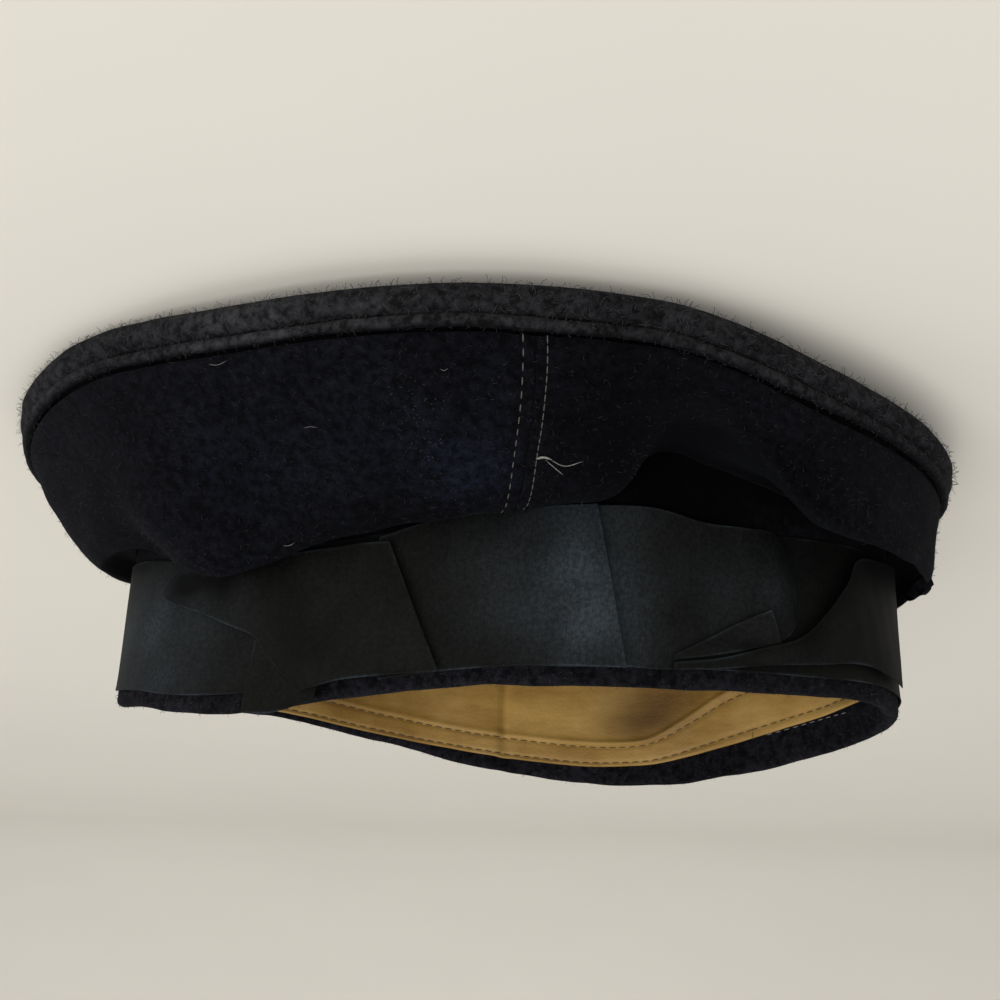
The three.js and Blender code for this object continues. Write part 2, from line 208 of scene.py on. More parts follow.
# %% Grid helpers
def ripple(points, wavelength, seed, waves=10):
    """A smooth, seeded unevenness from crossing sine waves, about -1 to 1."""
    rng = np.random.default_rng(seed)
    total = np.zeros(points.shape[:-1])
    for _ in range(waves):
        direction = rng.normal(size=3)
        direction *= 2 * math.pi / (wavelength * rng.uniform(0.6, 1.6) * np.linalg.norm(direction))
        total += np.sin(points @ direction + rng.uniform(0, 2 * math.pi))
    return total / math.sqrt(waves)


def grid_normals(points, closed):
    along_u = np.gradient(points, axis=0)
    if closed:
        along_u = (np.roll(points, -1, axis=0) - np.roll(points, 1, axis=0)) / 2
    along_v = np.gradient(points, axis=1)
    normals = np.cross(along_u, along_v)
    sizes = np.linalg.norm(normals, axis=-1, keepdims=True)
    normals = normals / np.maximum(sizes, 1e-9)
    if closed:
        normals[:, 0] = np.where(sizes[:, 0] < 1e-6, normals[:, 1], normals[:, 0])
    return normals


def new_object(name, points, faces, uvs, material, values=None):
    """A smooth-shaded mesh object, its points in millimetres moved to the frame's metres."""
    mesh = bpy.data.meshes.new(name)
    mesh.from_pydata(((points + ORIGIN) * MM).tolist(), [], faces)
    layer = mesh.uv_layers.new(name="cloth_mm")
    loops = np.zeros(len(mesh.loops), int)
    mesh.loops.foreach_get("vertex_index", loops)
    layer.data.foreach_set("uv", np.asarray(uvs)[loops].astype(np.float32).ravel())
    for label, amounts in (values or {}).items():
        mesh.attributes.new(label, "FLOAT", "POINT").data.foreach_set("value", amounts.astype(np.float32))
    mesh.polygons.foreach_set("use_smooth", [True] * len(mesh.polygons))
    mesh.materials.append(material)
    mesh.update()
    obj = bpy.data.objects.new(name, mesh)
    bpy.context.scene.collection.objects.link(obj)
    return obj


def grid_faces(columns, rows, closed_columns, closed_rows=False):
    """The quads of a grid as an array, four point numbers each."""
    i = np.arange(columns if closed_columns else columns - 1)[:, None]
    k = np.arange(rows if closed_rows else rows - 1)[None, :]
    j, m = (i + 1) % columns, (k + 1) % rows
    return np.stack([i * rows + k, j * rows + k, j * rows + m, i * rows + m], -1).reshape(-1, 4)


def cloth_object(name, outer, lengths, wall, material, closed=False, flip=False, edge=None, amounts=None):
    """Cloth with its outer face on a grid of points, its other face a wall behind it, and rounded edges.
    edge is each point's distance from a rounded edge, flip says that the grid winds the other way,
    and amounts are named values that the fibres and the finishes read."""
    side = -1.0 if flip else 1.0
    normals = side * grid_normals(outer, closed)
    pinch = 0.0
    if edge is not None:
        reach = np.clip(edge / (wall / 2), 0.0, 1.0)
        pinch = (wall / 2 * (1 - np.sqrt(np.clip(1 - (1 - reach) ** 2, 0.0, 1.0))) * 0.92)[..., None]
    columns, rows = outer.shape[:2]
    count = columns * rows
    points = np.concatenate(((outer - normals * pinch).reshape(-1, 3),
                             (outer - normals * (wall - pinch)).reshape(-1, 3)))
    uvs = np.concatenate((lengths.reshape(-1, 2), lengths.reshape(-1, 2)))
    front = grid_faces(columns, rows, closed)
    back = front[:, ::-1] + count
    ends = np.arange(columns if closed else columns - 1)
    after = (ends + 1) % columns
    sides = [(after * rows, ends * rows), (ends * rows + rows - 1, after * rows + rows - 1)]
    if not closed:
        down = np.arange(rows - 1)
        last = (columns - 1) * rows
        sides += [(down, down + 1), (last + down + 1, last + down)]
    strips = [np.stack((a, b, b + count, a + count), -1) for a, b in sides]
    faces = np.concatenate((front, back, *strips))
    if flip:
        faces = faces[:, ::-1]
    blank = np.zeros(count)
    values = {label: np.concatenate((np.asarray(amount, float).reshape(-1), blank))
              for label, amount in (amounts or {}).items()}
    return new_object(name, points, faces.tolist(), uvs, material, values)


def ring_object(name, points, material, amounts):
    """A closed outline swept right round: a grid whose columns and rows both close."""
    columns, rows = points.shape[:2]
    faces = grid_faces(columns, rows, True, True)
    middle = points.mean(axis=1, keepdims=True)
    normal = np.cross(points[1, 0] - points[0, 0], points[0, 1] - points[0, 0])
    if np.dot(normal, points[0, 0] - middle[0, 0]) < 0:
        faces = faces[:, ::-1]
    values = {label: amount.reshape(-1) for label, amount in amounts.items()}
    return new_object(name, points.reshape(-1, 3), faces.tolist(), grid_lengths(points).reshape(-1, 2),
                      material, values)


def finish_piece(piece, slot, *nodes):
    """Rides the piece on the cap's one body, and hides the CAD solids that it stands for."""
    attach(piece, "root")
    if nodes:
        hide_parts(*nodes)


def soft_curve(stations, share):
    """A centripetal Catmull-Rom curve through stations, each an array of points; share goes 0 to 1."""
    before = 2 * stations[0] - stations[1]
    after = 2 * stations[-1] - stations[-2]
    chain = np.stack([before, *stations, after])
    spans = len(stations) - 1
    place = np.clip(np.asarray(share) * spans, 0, spans - 1e-9)
    first = np.floor(place).astype(int)
    weight = (place - first)[..., None]
    picked = [np.take_along_axis(chain, (first + k)[None, ..., None].repeat(3, -1), 0)[0]
              for k in range(4)]
    steps = [np.maximum(np.linalg.norm(picked[k + 1] - picked[k], axis=-1, keepdims=True) ** 0.5, 1e-4)
             for k in range(3)]
    p0, p1, p2, p3 = picked
    t0, t1, t2 = steps
    slope1 = ((p1 - p0) / t0 - (p2 - p0) / (t0 + t1) + (p2 - p1) / t1) * t1
    slope2 = ((p2 - p1) / t1 - (p3 - p1) / (t1 + t2) + (p3 - p2) / t2) * t1
    c2 = -3 * p1 + 3 * p2 - 2 * slope1 - slope2
    c3 = 2 * p1 - 2 * p2 + slope1 + slope2
    return p1 + slope1 * weight + c2 * weight ** 2 + c3 * weight ** 3


def grid_lengths(points):
    """Each grid point's distance along its column and row, from the grid's first corner."""
    along = np.linalg.norm(np.diff(points, axis=0), axis=-1)
    across = np.linalg.norm(np.diff(points, axis=1), axis=-1)
    u = np.concatenate((np.zeros((1, points.shape[1])), np.cumsum(along, axis=0)))
    v = np.concatenate((np.zeros((points.shape[0], 1)), np.cumsum(across, axis=1)), axis=1)
    return np.stack((u, v), -1)


def patch_sum(patches, first, second):
    """The total of soft oval patches, each (first place, second place, first reach, second reach, amount)."""
    total = 0.0
    for at_first, at_second, reach_first, reach_second, amount in patches:
        total = total + amount * np.exp(-((first - at_first) / reach_first) ** 2
                                        - ((second - at_second) / reach_second) ** 2)
    return total


# %% [markdown]
# ## Finishes
# Melton wool is woven and then felted until its weave disappears, so it is matt, nearly black and
# covered by a short nap that catches light at its edges: a rough base, a little sheen, and fine
# fibre bumps. Silk ribbon is smoother, with thin ribs across it. Sweatband leather is tan, with
# pores, rub marks and a soft gloss. All three are built from noise, so they need no image; a tone value kept
# on the mesh then paints shade and light onto chosen patches.

# %% Node helpers and the wool
def new_material(name):
    material = bpy.data.materials.new(name)
    material.use_nodes = True
    tree = material.node_tree
    tree.nodes.clear()
    output = tree.nodes.new("ShaderNodeOutputMaterial")
    shader = tree.nodes.new("ShaderNodeBsdfPrincipled")
    tree.links.new(shader.outputs["BSDF"], output.inputs["Surface"])
    return material, tree, shader


def add_node(tree, kind, inputs=None, **settings):
    node = tree.nodes.new(kind)
    for key, value in settings.items():
        setattr(node, key, value)
    for key, value in (inputs or {}).items():
        if isinstance(value, bpy.types.NodeSocket):
            tree.links.new(value, node.inputs[key])
        else:
            node.inputs[key].default_value = value
    return node


def noise(tree, vector, scale, detail=4.0, roughness=0.6):
    inputs = {"Vector": vector, "Scale": scale, "Detail": detail, "Roughness": roughness}
    return add_node(tree, "ShaderNodeTexNoise", inputs).outputs["Fac"]


def ramp(tree, factor, stops):
    node = add_node(tree, "ShaderNodeValToRGB", {"Fac": factor})
    elements = node.color_ramp.elements
    while len(elements) < len(stops):
        elements.new(0.5)
    for element, (place, colour) in zip(elements, stops):
        element.position = place
        element.color = (*colour, 1.0)
    return node.outputs["Color"]


def mix_colour(tree, factor, first, second, kind="MIX"):
    node = tree.nodes.new("ShaderNodeMix")
    node.data_type = "RGBA"
    node.blend_type = kind
    for socket, value in ((node.inputs[0], factor), (node.inputs[6], first), (node.inputs[7], second)):
        if isinstance(value, bpy.types.NodeSocket):
            tree.links.new(value, socket)
        else:
            socket.default_value = value if isinstance(value, float) else (*value, 1.0)
    return node.outputs[2]


def sum_heights(tree, parts):
    """Adds noise heights, each times its size."""
    total = None
    for height, size in parts:
        part = add_node(tree, "ShaderNodeMath", {0: height, 1: size}, operation="MULTIPLY").outputs[0]
        if total is not None:
            part = add_node(tree, "ShaderNodeMath", {0: total, 1: part}, operation="ADD").outputs[0]
        total = part
    return total


def own_value(tree, label, low=0.0, high=1.0):
    """A named value kept on the mesh's own points, its range from low to high made 0 to 1."""
    value = add_node(tree, "ShaderNodeAttribute", attribute_name=label, attribute_type="GEOMETRY")
    inputs = {"Value": value.outputs["Fac"], "From Min": low, "From Max": high}
    return add_node(tree, "ShaderNodeMapRange", inputs).outputs[0]


def toned(tree, base, darkest, lightest):
    """The base colour times the mesh's own tone value, which is 0 where nothing is changed: below 0 it paints
    shade, above 0 it makes the colour paler, which is painted light on the leather and the bow and paler
    bluish patches on the wool.
    """
    stops = ((0.0, darkest), (0.5, (1.0, 1.0, 1.0)), (1.0, lightest))
    tone = ramp(tree, own_value(tree, "tone", -1.0, 1.0), stops)
    return mix_colour(tree, 1.0, base, tone, "MULTIPLY")


def add_bump(tree, shader, height, strength, distance):
    bump = add_node(tree, "ShaderNodeBump", {"Height": height, "Strength": strength, "Distance": distance})
    tree.links.new(bump.outputs["Normal"], shader.inputs["Normal"])


def wool_material(name, dark, light, worn):
    material, tree, shader = new_material(name)
    place = add_node(tree, "ShaderNodeTexCoord").outputs["Object"]
    mottle = noise(tree, place, 22.0, 3.0)
    nap = noise(tree, place, 420.0, 6.0, 0.7)
    fibre = noise(tree, place, 1900.0, 4.0, 0.7)
    base = ramp(tree, mottle, ((0.35, dark), (0.7, light)))
    flecks = ramp(tree, nap, ((0.40, (0.34, 0.34, 0.34)), (0.68, (1.95, 1.95, 2.02))))
    base = mix_colour(tree, 1.0, base, flecks, "MULTIPLY")
    lightened = ramp(tree, fibre, ((0.62, (0.0, 0.0, 0.0)), (0.78, (1.0, 1.0, 1.0))))
    base = mix_colour(tree, lightened, base, worn)
    base = toned(tree, base, (0.04, 0.04, 0.04), (2.3, 2.7, 3.5))
    tree.links.new(base, shader.inputs["Base Color"])
    shader.inputs["Roughness"].default_value = 0.97
    shader.inputs["Specular IOR Level"].default_value = 0.03
    shader.inputs["Sheen Weight"].default_value = 0.014
    shader.inputs["Sheen Roughness"].default_value = 0.55
    shader.inputs["Sheen Tint"].default_value = (0.62, 0.66, 0.80, 1.0)
    height = sum_heights(tree, ((nap, 0.6), (fibre, 0.35), (noise(tree, place, 90.0, 3.0), 0.6)))
    add_bump(tree, shader, height, 1.0, 0.0008)
    return material


# One navy melton in three brightnesses: the crown roll's copy is painted light, the head band's copy a little
# painted light, and the under-crown's copy, the darkest, painted shade.
navy_wool = wool_material("melton_wool_navy", (0.0014, 0.0014, 0.0020), (0.0031, 0.0033, 0.0046),
                          (0.015, 0.015, 0.017))
roll_wool_painted_lit = wool_material("melton_wool_roll", (0.0074, 0.0073, 0.0079), (0.0185, 0.0183, 0.0196),
                          (0.062, 0.061, 0.064))
hem_wool_painted_lit = wool_material("melton_wool_hem", (0.0036, 0.0035, 0.0044), (0.0076, 0.0075, 0.0094),
                         (0.024, 0.024, 0.027))


# %% Ribbon, leather, thread and lint
# The paler, bluer colour that the silk is blended to: painted light in patches, and a paler line along the
# selvages and the middle panel's cut end.
RIBBON_PALE_COLOUR = (0.0230, 0.0290, 0.0350)
WEAVE_GRAIN, SPECK_GRAIN = 1000.0, 2600.0


def ribbon_material(name, dark, light, rib_scale):
    """Silk ribbon: fine ribs across its length, from the cloth's own UV map in millimetres."""
    material, tree, shader = new_material(name)
    uv = add_node(tree, "ShaderNodeUVMap", uv_map="cloth_mm").outputs["UV"]
    place = add_node(tree, "ShaderNodeTexCoord").outputs["Object"]
    cloud = noise(tree, place, 60.0, 4.0)
    base = ramp(tree, cloud, ((0.3, dark), (0.72, light)))
    ribs = add_node(tree, "ShaderNodeTexWave",
                    {"Vector": uv, "Scale": rib_scale, "Distortion": 0.6, "Detail": 1.0},
                    wave_type="BANDS", bands_direction="X").outputs["Fac"]
    threads = add_node(tree, "ShaderNodeTexWave", {"Vector": uv, "Scale": rib_scale * 1.7, "Distortion": 0.8},
                       wave_type="BANDS", bands_direction="Y").outputs["Fac"]
    stretched = add_node(tree, "ShaderNodeMapping", {"Vector": uv, "Scale": (3.0, 0.25, 1.0)})
    slubs = noise(tree, stretched.outputs[0], 1.0, 3.0)
    shade = ramp(tree, ribs, ((0.2, (0.78, 0.78, 0.78)), (0.8, (1.15, 1.15, 1.15))))
    base = mix_colour(tree, 1.0, base, shade, "MULTIPLY")
    specks = ramp(tree, noise(tree, place, SPECK_GRAIN, 2.0),
                  ((0.70, (0.0, 0.0, 0.0)), (0.80, (0.5, 0.5, 0.5))))
    base = mix_colour(tree, specks, base, (0.08, 0.08, 0.08))
    # Painted light: where the lightened value is high, the silk takes the paler, bluer colour, ribs and all.
    pale_with_ribs = mix_colour(tree, 1.0, RIBBON_PALE_COLOUR, shade, "MULTIPLY")
    base = mix_colour(tree, own_value(tree, "lightened"), base, pale_with_ribs)
    base = toned(tree, base, (0.06, 0.06, 0.06), (2.0, 2.0, 2.0))
    grain = noise(tree, place, WEAVE_GRAIN, 3.0, 0.7)
    weave = ramp(tree, grain, ((0.38, (0.66, 0.66, 0.66)), (0.64, (1.36, 1.36, 1.36))))
    base = mix_colour(tree, 1.0, base, weave, "MULTIPLY")
    tree.links.new(base, shader.inputs["Base Color"])
    shader.inputs["Roughness"].default_value = 0.58
    shader.inputs["Specular IOR Level"].default_value = 0.06
    shader.inputs["Anisotropic"].default_value = 0.4
    shader.inputs["Sheen Weight"].default_value = 0.006
    shader.inputs["Sheen Roughness"].default_value = 0.4
    shader.inputs["Sheen Tint"].default_value = (0.75, 0.85, 0.9, 1.0)
    height = sum_heights(tree, ((ribs, 0.35), (threads, 0.25), (slubs, 0.35), (cloud, 0.5)))
    add_bump(tree, shader, height, 0.55, 0.00012)
    return material


silk_ribbon = ribbon_material("silk_ribbon", (0.0020, 0.0022, 0.0018), (0.0046, 0.0049, 0.0042), 0.9)


def leather_material(name):
    material, tree, shader = new_material(name)
    place = add_node(tree, "ShaderNodeTexCoord").outputs["Object"]
    cloud = noise(tree, place, 35.0, 5.0)
    flattened = add_node(tree, "ShaderNodeMapping", {"Vector": place, "Scale": (14.0, 14.0, 60.0)})
    rub = noise(tree, flattened.outputs[0], 1.0, 6.0, 0.7)
    tans = ((0.25, (0.185, 0.102, 0.020)), (0.5, (0.250, 0.150, 0.038)), (0.8, (0.320, 0.208, 0.072)))
    base = ramp(tree, cloud, tans)
    stain = ramp(tree, rub, ((0.30, (0.62, 0.55, 0.46)), (0.62, (1.05, 1.04, 1.02))))
    base = mix_colour(tree, 1.0, base, stain, "MULTIPLY")
    base = toned(tree, base, (0.22, 0.16, 0.06), (1.3, 1.33, 1.40))
    pores = add_node(tree, "ShaderNodeTexVoronoi", {"Vector": place, "Scale": 1400.0}).outputs["Distance"]
    grain = noise(tree, place, 600.0, 5.0)
    tree.links.new(base, shader.inputs["Base Color"])
    tree.links.new(add_node(tree, "ShaderNodeMapRange", {"Value": rub, "From Min": 0.3, "From Max": 0.8,
                                                         "To Min": 0.42, "To Max": 0.68}).outputs[0],
                   shader.inputs["Roughness"])
    shader.inputs["Specular IOR Level"].default_value = 0.18
    height = sum_heights(tree, ((pores, 0.5), (grain, 0.6), (cloud, 0.6)))
    add_bump(tree, shader, height, 0.5, 0.00025)
    return material


tan_leather = leather_material("sweatband_leather")


def thread_material(name, colour, shine):
    material, tree, shader = new_material(name)
    place = add_node(tree, "ShaderNodeTexCoord").outputs["Object"]
    twist = noise(tree, place, 3000.0, 2.0)
    dark = tuple(c * 0.6 for c in colour)
    tree.links.new(ramp(tree, twist, ((0.35, dark), (0.7, colour))), shader.inputs["Base Color"])
    shader.inputs["Roughness"].default_value = shine
    add_bump(tree, shader, twist, 0.6, 0.0001)
    return material


wool_thread = thread_material("topstitch_thread", (0.085, 0.077, 0.062), 0.85)
tan_thread = thread_material("sweatband_thread", (0.060, 0.034, 0.010), 0.8)
grey_lint = thread_material("grey_lint", (0.21, 0.20, 0.185), 0.9)
pale_hair = thread_material("pale_hair", (0.13, 0.125, 0.115), 0.9)
# The same wool fibre in two brightnesses: painted light for the roll, welt and head band, painted shade for
# the under-crown.
nap_fibre_painted_lit = thread_material("nap_fibre_painted_lit", (0.036, 0.036, 0.039), 0.95)
felt_fibre_painted_shade = thread_material("felt_fibre_painted_shade", (0.014, 0.0145, 0.0175), 0.95)

# %% [markdown]
# ## Camera, floor and light
# The cap lies on its flat crown with the opening up. The camera stands low beside its left side,
# looking slightly down into the opening, and is turned over so that the crown is at the top of the
# view. The floor runs up into a curved backdrop. Broad soft lights keep the shadows gentle.

# %% Camera, stage and lights
CAMERA_PLACE = (-30.6, -384.0, 152.0)
CAMERA_PITCH, CAMERA_YAW, CAMERA_ROLL = 20.07, 4.01, 182.06
LENS, SENSOR = 46.8, 36.0

pitch, yaw, roll = (math.radians(a) for a in (CAMERA_PITCH, CAMERA_YAW, CAMERA_ROLL))
forward = Vector((math.sin(yaw) * math.cos(pitch), math.cos(yaw) * math.cos(pitch), -math.sin(pitch)))
level_right = Vector((math.cos(yaw), -math.sin(yaw), 0.0))
level_up = level_right.cross(forward)
right = math.cos(roll) * level_right + math.sin(roll) * level_up
up = -math.sin(roll) * level_right + math.cos(roll) * level_up
camera_data = bpy.data.cameras.new("camera")
camera_data.lens, camera_data.sensor_width = LENS, SENSOR
camera_data.clip_start, camera_data.clip_end = 0.01, 20.0
camera = bpy.data.objects.new("camera", camera_data)
bpy.context.scene.collection.objects.link(camera)
turn = Matrix((right, up, -forward)).transposed().to_4x4()
camera.matrix_world = Matrix.Translation((Vector(CAMERA_PLACE) + Vector(ORIGIN)) * MM) @ turn
bpy.context.scene.camera = camera
bpy.context.scene.view_settings.view_transform = "Standard"

FLOOR_HALF, SWEEP_RADIUS, WALL_TOP = 2.6, 0.7, 3.0


def stage_material(name, colour):
    material, tree, shader = new_material(name)
    place = add_node(tree, "ShaderNodeTexCoord").outputs["Object"]
    cloud = noise(tree, place, 3.0, 4.0)
    low = tuple(c * 0.97 for c in colour)
    tree.links.new(ramp(tree, cloud, ((0.3, low), (0.7, colour))), shader.inputs["Base Color"])
    shader.inputs["Roughness"].default_value = 0.95
    shader.inputs["Specular IOR Level"].default_value = 0.1
    return material


def make_stage():
    """A pale floor that curves up into a backdrop behind the cap."""
    profile = [(-FLOOR_HALF, 0.0), (1.1, 0.0)]
    for k in range(1, 17):
        bend = math.pi / 2 * k / 16
        profile.append((1.1 + SWEEP_RADIUS * math.sin(bend), SWEEP_RADIUS * (1 - math.cos(bend))))
    profile.append((1.1 + SWEEP_RADIUS, WALL_TOP))
    points = [(x, y, z) for y, z in profile for x in (-FLOOR_HALF, FLOOR_HALF)]
    faces = [(2 * k, 2 * k + 1, 2 * k + 3, 2 * k + 2) for k in range(len(profile) - 1)]
    mesh = bpy.data.meshes.new("floor")
    mesh.from_pydata(points, [], faces)
    mesh.polygons.foreach_set("use_smooth", [True] * len(mesh.polygons))
    mesh.materials.append(stage_material("pale_floor", (0.72, 0.685, 0.605)))
    floor = bpy.data.objects.new("floor", mesh)
    bpy.context.scene.collection.objects.link(floor)


make_stage()


def add_area_light(name, place, target, size, power, colour):
    data = bpy.data.lights.new(name, "AREA")
    data.shape, data.size, data.size_y = "RECTANGLE", *size
    data.energy, data.color = power, colour
    light = bpy.data.objects.new(name, data)
    light.location = place
    light.rotation_euler = (Vector(target) - Vector(place)).to_track_quat("-Z", "Y").to_euler()
    bpy.context.scene.collection.objects.link(light)


add_area_light("overhead_softbox", (0.1, 0.3, 1.7), (0.0, 0.0, 0.0), (2.4, 2.2), 7.0, (1.0, 0.98, 0.95))
add_area_light("front_softbox", (0.45, -2.00, 1.22), (0.0, 0.05, 0.05), (2.8, 1.8), 60.0, (1.0, 0.985, 0.96))
add_area_light("low_side_softbox", (1.1, -1.0, 0.30), (0.0, 0.0, 0.03), (1.0, 0.5), 3.5, (0.94, 0.97, 1.0))
world = bpy.data.worlds.new("studio")
world.use_nodes = True
world.node_tree.nodes["Background"].inputs["Color"].default_value = (0.90, 0.93, 1.0, 1.0)
world.node_tree.nodes["Background"].inputs["Strength"].default_value = 0.42
bpy.context.scene.world = world

# %% [markdown]
# ## The crown: top disc and welt
# The crown top is a flat disc of cloth whose edge rolls up and is sewn, with a covered cord between,
# to the under-crown. It rests flat on the floor. A lathe would make the roll, but the crown is an
# oval that lifts off the floor unevenly, so each section is placed by the table instead. Small
# seeded dents keep it from looking like a machined ring.

# %% Crown top and welt cord
RING_COLUMNS = 480
DISC_EDGE = 60.0
SEAM_FIRST_ROW = 29.5


def ring_angles(columns=RING_COLUMNS):
    return np.arange(columns) * 360.0 / columns


def crown_top_points():
    """The disc's outer face: from its middle, along the floor, up the roll and in behind the welt,
    where its seam allowance stands up inside the crown."""
    angle = ring_angles()[:, None]
    flat_rim = crown_point(angle, DISC_EDGE, 0.0)
    flat = flat_rim * np.array([0.0, 0.15, 0.35, 0.55, 0.75, 0.9])[None, :, None]
    insets = [60.0, 50.0, 42.0, 35.0, 30.0, 25.0, 20.0, 15.0, 11.0, 8.0, 6.0]
    heights = [0.0] * len(insets)
    for bend in np.linspace(-90, 112, 17):
        insets.append(ROLL_RADIUS - ROLL_RADIUS * math.cos(math.radians(bend)))
        heights.append(ROLL_RADIUS + ROLL_RADIUS * math.sin(math.radians(bend)))
    insets += [6.0, 6.5, 7.0]
    heights += [8.7, 10.2, 11.5]
    insets, heights = np.array(insets)[None, :], np.array(heights)[None, :]
    edge = crown_point(angle, insets, heights)
    loose = smooth_step(-insets, -16.0, -4.0)
    dents = 0.45 * ripple(edge, 24.0, 3) + 0.55 * ripple(edge, 60.0, 4)
    outward = edge[..., :2] / np.linalg.norm(edge[..., :2], axis=-1, keepdims=True)
    edge[..., :2] += outward * (0.5 * dents * loose)[..., None]
    edge[..., 2] += np.maximum(0.5 * dents * loose * (heights > 1.0), -heights)
    return np.concatenate((flat, edge), axis=1)


def merge_middle(obj):
    """Joins the ring of points at the disc's middle into one point on each face."""
    work = bmesh.new()
    work.from_mesh(obj.data)
    middle = Vector(ORIGIN) * MM
    near = [v for v in work.verts if (v.co.xy - middle.xy).length < 1 * MM]
    bmesh.ops.remove_doubles(work, verts=near, dist=0.01 * MM)
    work.to_mesh(obj.data)
    work.free()


crown_points = crown_top_points()
crown_lengths = grid_lengths(crown_points)
crown_fuzz = smooth_step(np.broadcast_to(crown_lengths[..., 1], crown_points.shape[:2]), 112.0, 124.0)
row_numbers = np.broadcast_to(np.arange(crown_points.shape[1]), crown_points.shape[:2])
# Rows past the roll's seam are the allowance tucked behind the welt; their tone paints shade on them.
crown_tucked = smooth_step(row_numbers, SEAM_FIRST_ROW, SEAM_FIRST_ROW + 2.5)
crown_fuzz = crown_fuzz * (1 - crown_tucked)
crown_top = cloth_object("wool_crown_top", crown_points, crown_lengths, WOOL, roll_wool_painted_lit,
                         closed=True, amounts={"fuzz": crown_fuzz, "tone": -0.92 * crown_tucked})
merge_middle(crown_top)
finish_piece(crown_top, "navy_wool", "crown_top")


def make_welt():
    """The cord, covered in the same wool, with the small dents of its seam."""
    angle = ring_angles(720)[:, None]
    turn = np.arange(12)[None, :] * 2 * math.pi / 12
    wave = 0.12 * ripple(crown_point(angle, WELT_INSET, WELT_HEIGHT), 11.0, 9)
    radius = WELT_RADIUS + wave
    points = crown_point(angle, WELT_INSET + radius * np.cos(turn), WELT_HEIGHT + radius * np.sin(turn))
    wander = 0.22 * ripple(crown_point(angle, WELT_INSET, WELT_HEIGHT), 34.0, 10)
    points[..., 2] += wander
    # All but the welt's outward face sits tucked between the roll and the under-crown, and its tone paints
    # shade there.
    tucked = np.broadcast_to(smooth_step(np.cos(turn), -0.80, -0.05), points.shape[:2])
    return ring_object("wool_welt", points, roll_wool_painted_lit,
                       {"fuzz": np.full(points.shape[:2], 0.7), "tone": -0.92 * tucked})


welt = make_welt()
finish_piece(welt, "navy_wool", "crown_welt")
print("crown top and welt made:", len(crown_top.data.polygons), len(welt.data.polygons), "faces")

# %% [markdown]
# ## The under-crown
# Two panels of the same wool run from the welt in to the head band. They meet in a seam on the
# wearer's left, pressed open and topstitched on both sides, and in a plain seam on the other side.
# The cloth puffs over the ribbon's edge in a soft fold and is sewn down behind it. Cloth simulation
# could drape it, but the fold has to sit exactly where the cap's does, so each section is a smooth
# curve through the table's points, and the panel edges are rounded over as turned cloth is.

# %% Under-crown panels
SEAM_DENSE_DEG, SEAM_DENSE_COLUMNS, PANEL_COLUMNS = 6.5, 44, 240
ALLOWANCE_WIDTH, ALLOWANCE_RISE = 6.5, 0.75
SEAM_BEND_SHARE, SEAM_BEND_POWER = 0.55, 1.5
STITCH_ROW = {"front": 3.0, "back": 2.5}

# Each fold: angle, share down the panel, reach in angle, reach in share, rise in millimetres.
FOLDS = (
    (322.0, 0.43, 7.0, 0.07, -2.6),
    (313.0, 0.30, 9.0, 0.10, 1.2),
    (296.0, 0.36, 10.0, 0.12, -0.9),
    (284.0, 0.22, 12.0, 0.12, 0.8),
    (276.0, 0.42, 6.0, 0.05, -0.8),
    (255.0, 0.30, 6.0, 0.10, -0.9),
    (246.0, 0.22, 7.0, 0.12, 0.8),
    (232.0, 0.26, 9.0, 0.10, -0.8),
    (205.0, 0.30, 14.0, 0.14, 1.0),
    (170.0, 0.34, 12.0, 0.12, -1.2),
    (128.0, 0.30, 14.0, 0.14, 1.2),
    (60.0, 0.32, 13.0, 0.13, -1.2),
    (20.0, 0.30, 12.0, 0.12, 1.1),
)


LINT_PATCHES = (
    (274.5, 0.25, 1.9, 0.10, 1.0),
    (275.0, 0.14, 1.6, 0.05, 0.6),
    (267.3, 0.08, 1.4, 0.04, 0.6),
)
# Tone patches on the under-crown, each (angle, share, reach in angle, reach in share, amount): the negative
# ones paint shade on the side turned from the light and by the fold, and the positive ones make paler bluish
# patches.
WOOL_TONES = (
    (271.3, 0.33, 5.0, 0.09, 0.95),
    (281.0, 0.22, 9.0, 0.10, 0.15),
    (298.0, 0.24, 8.0, 0.12, 0.20),
    (266.5, 0.20, 2.0, 0.20, 0.20),
    (252.0, 0.30, 7.0, 0.20, -0.75),
    (238.0, 0.36, 9.0, 0.14, -0.55),
    (284.0, 0.48, 12.0, 0.06, -0.45),
)


def under_crown_stations(angle):
    line = ribbon_line(angle)
    start = crown_point(angle, UNDER_START_INSET, UNDER_START_HEIGHT)
    crest = band_point(angle, section("fold_out", angle), line + section("fold_up", angle))
    crease_height = line + section("crease_up", angle)
    pocket = band_point(angle, POCKET_OUT, crease_height)
    crease = band_point(angle, CREASE_OUT, crease_height)
    belly = (start + crest) / 2
    belly[..., 2] += 0.06 * np.linalg.norm(start - crest, axis=-1)
    return [start, belly, crest, pocket, crease]


def panel_shares():
    """Rows down a panel, closest where the fold turns and at the sewn edges."""
    edges = (0.0, 0.25, 0.5, 0.75, 1.0)
    counts = (24, 26, 12, 7)
    rows = [np.linspace(a, b, n, endpoint=False) for a, b, n in zip(edges, edges[1:], counts)]
    rows.append(np.array([1.0]))
    lip = np.array([0.0012, 0.003, 0.006])
    return np.unique(np.concatenate((*rows, lip)))


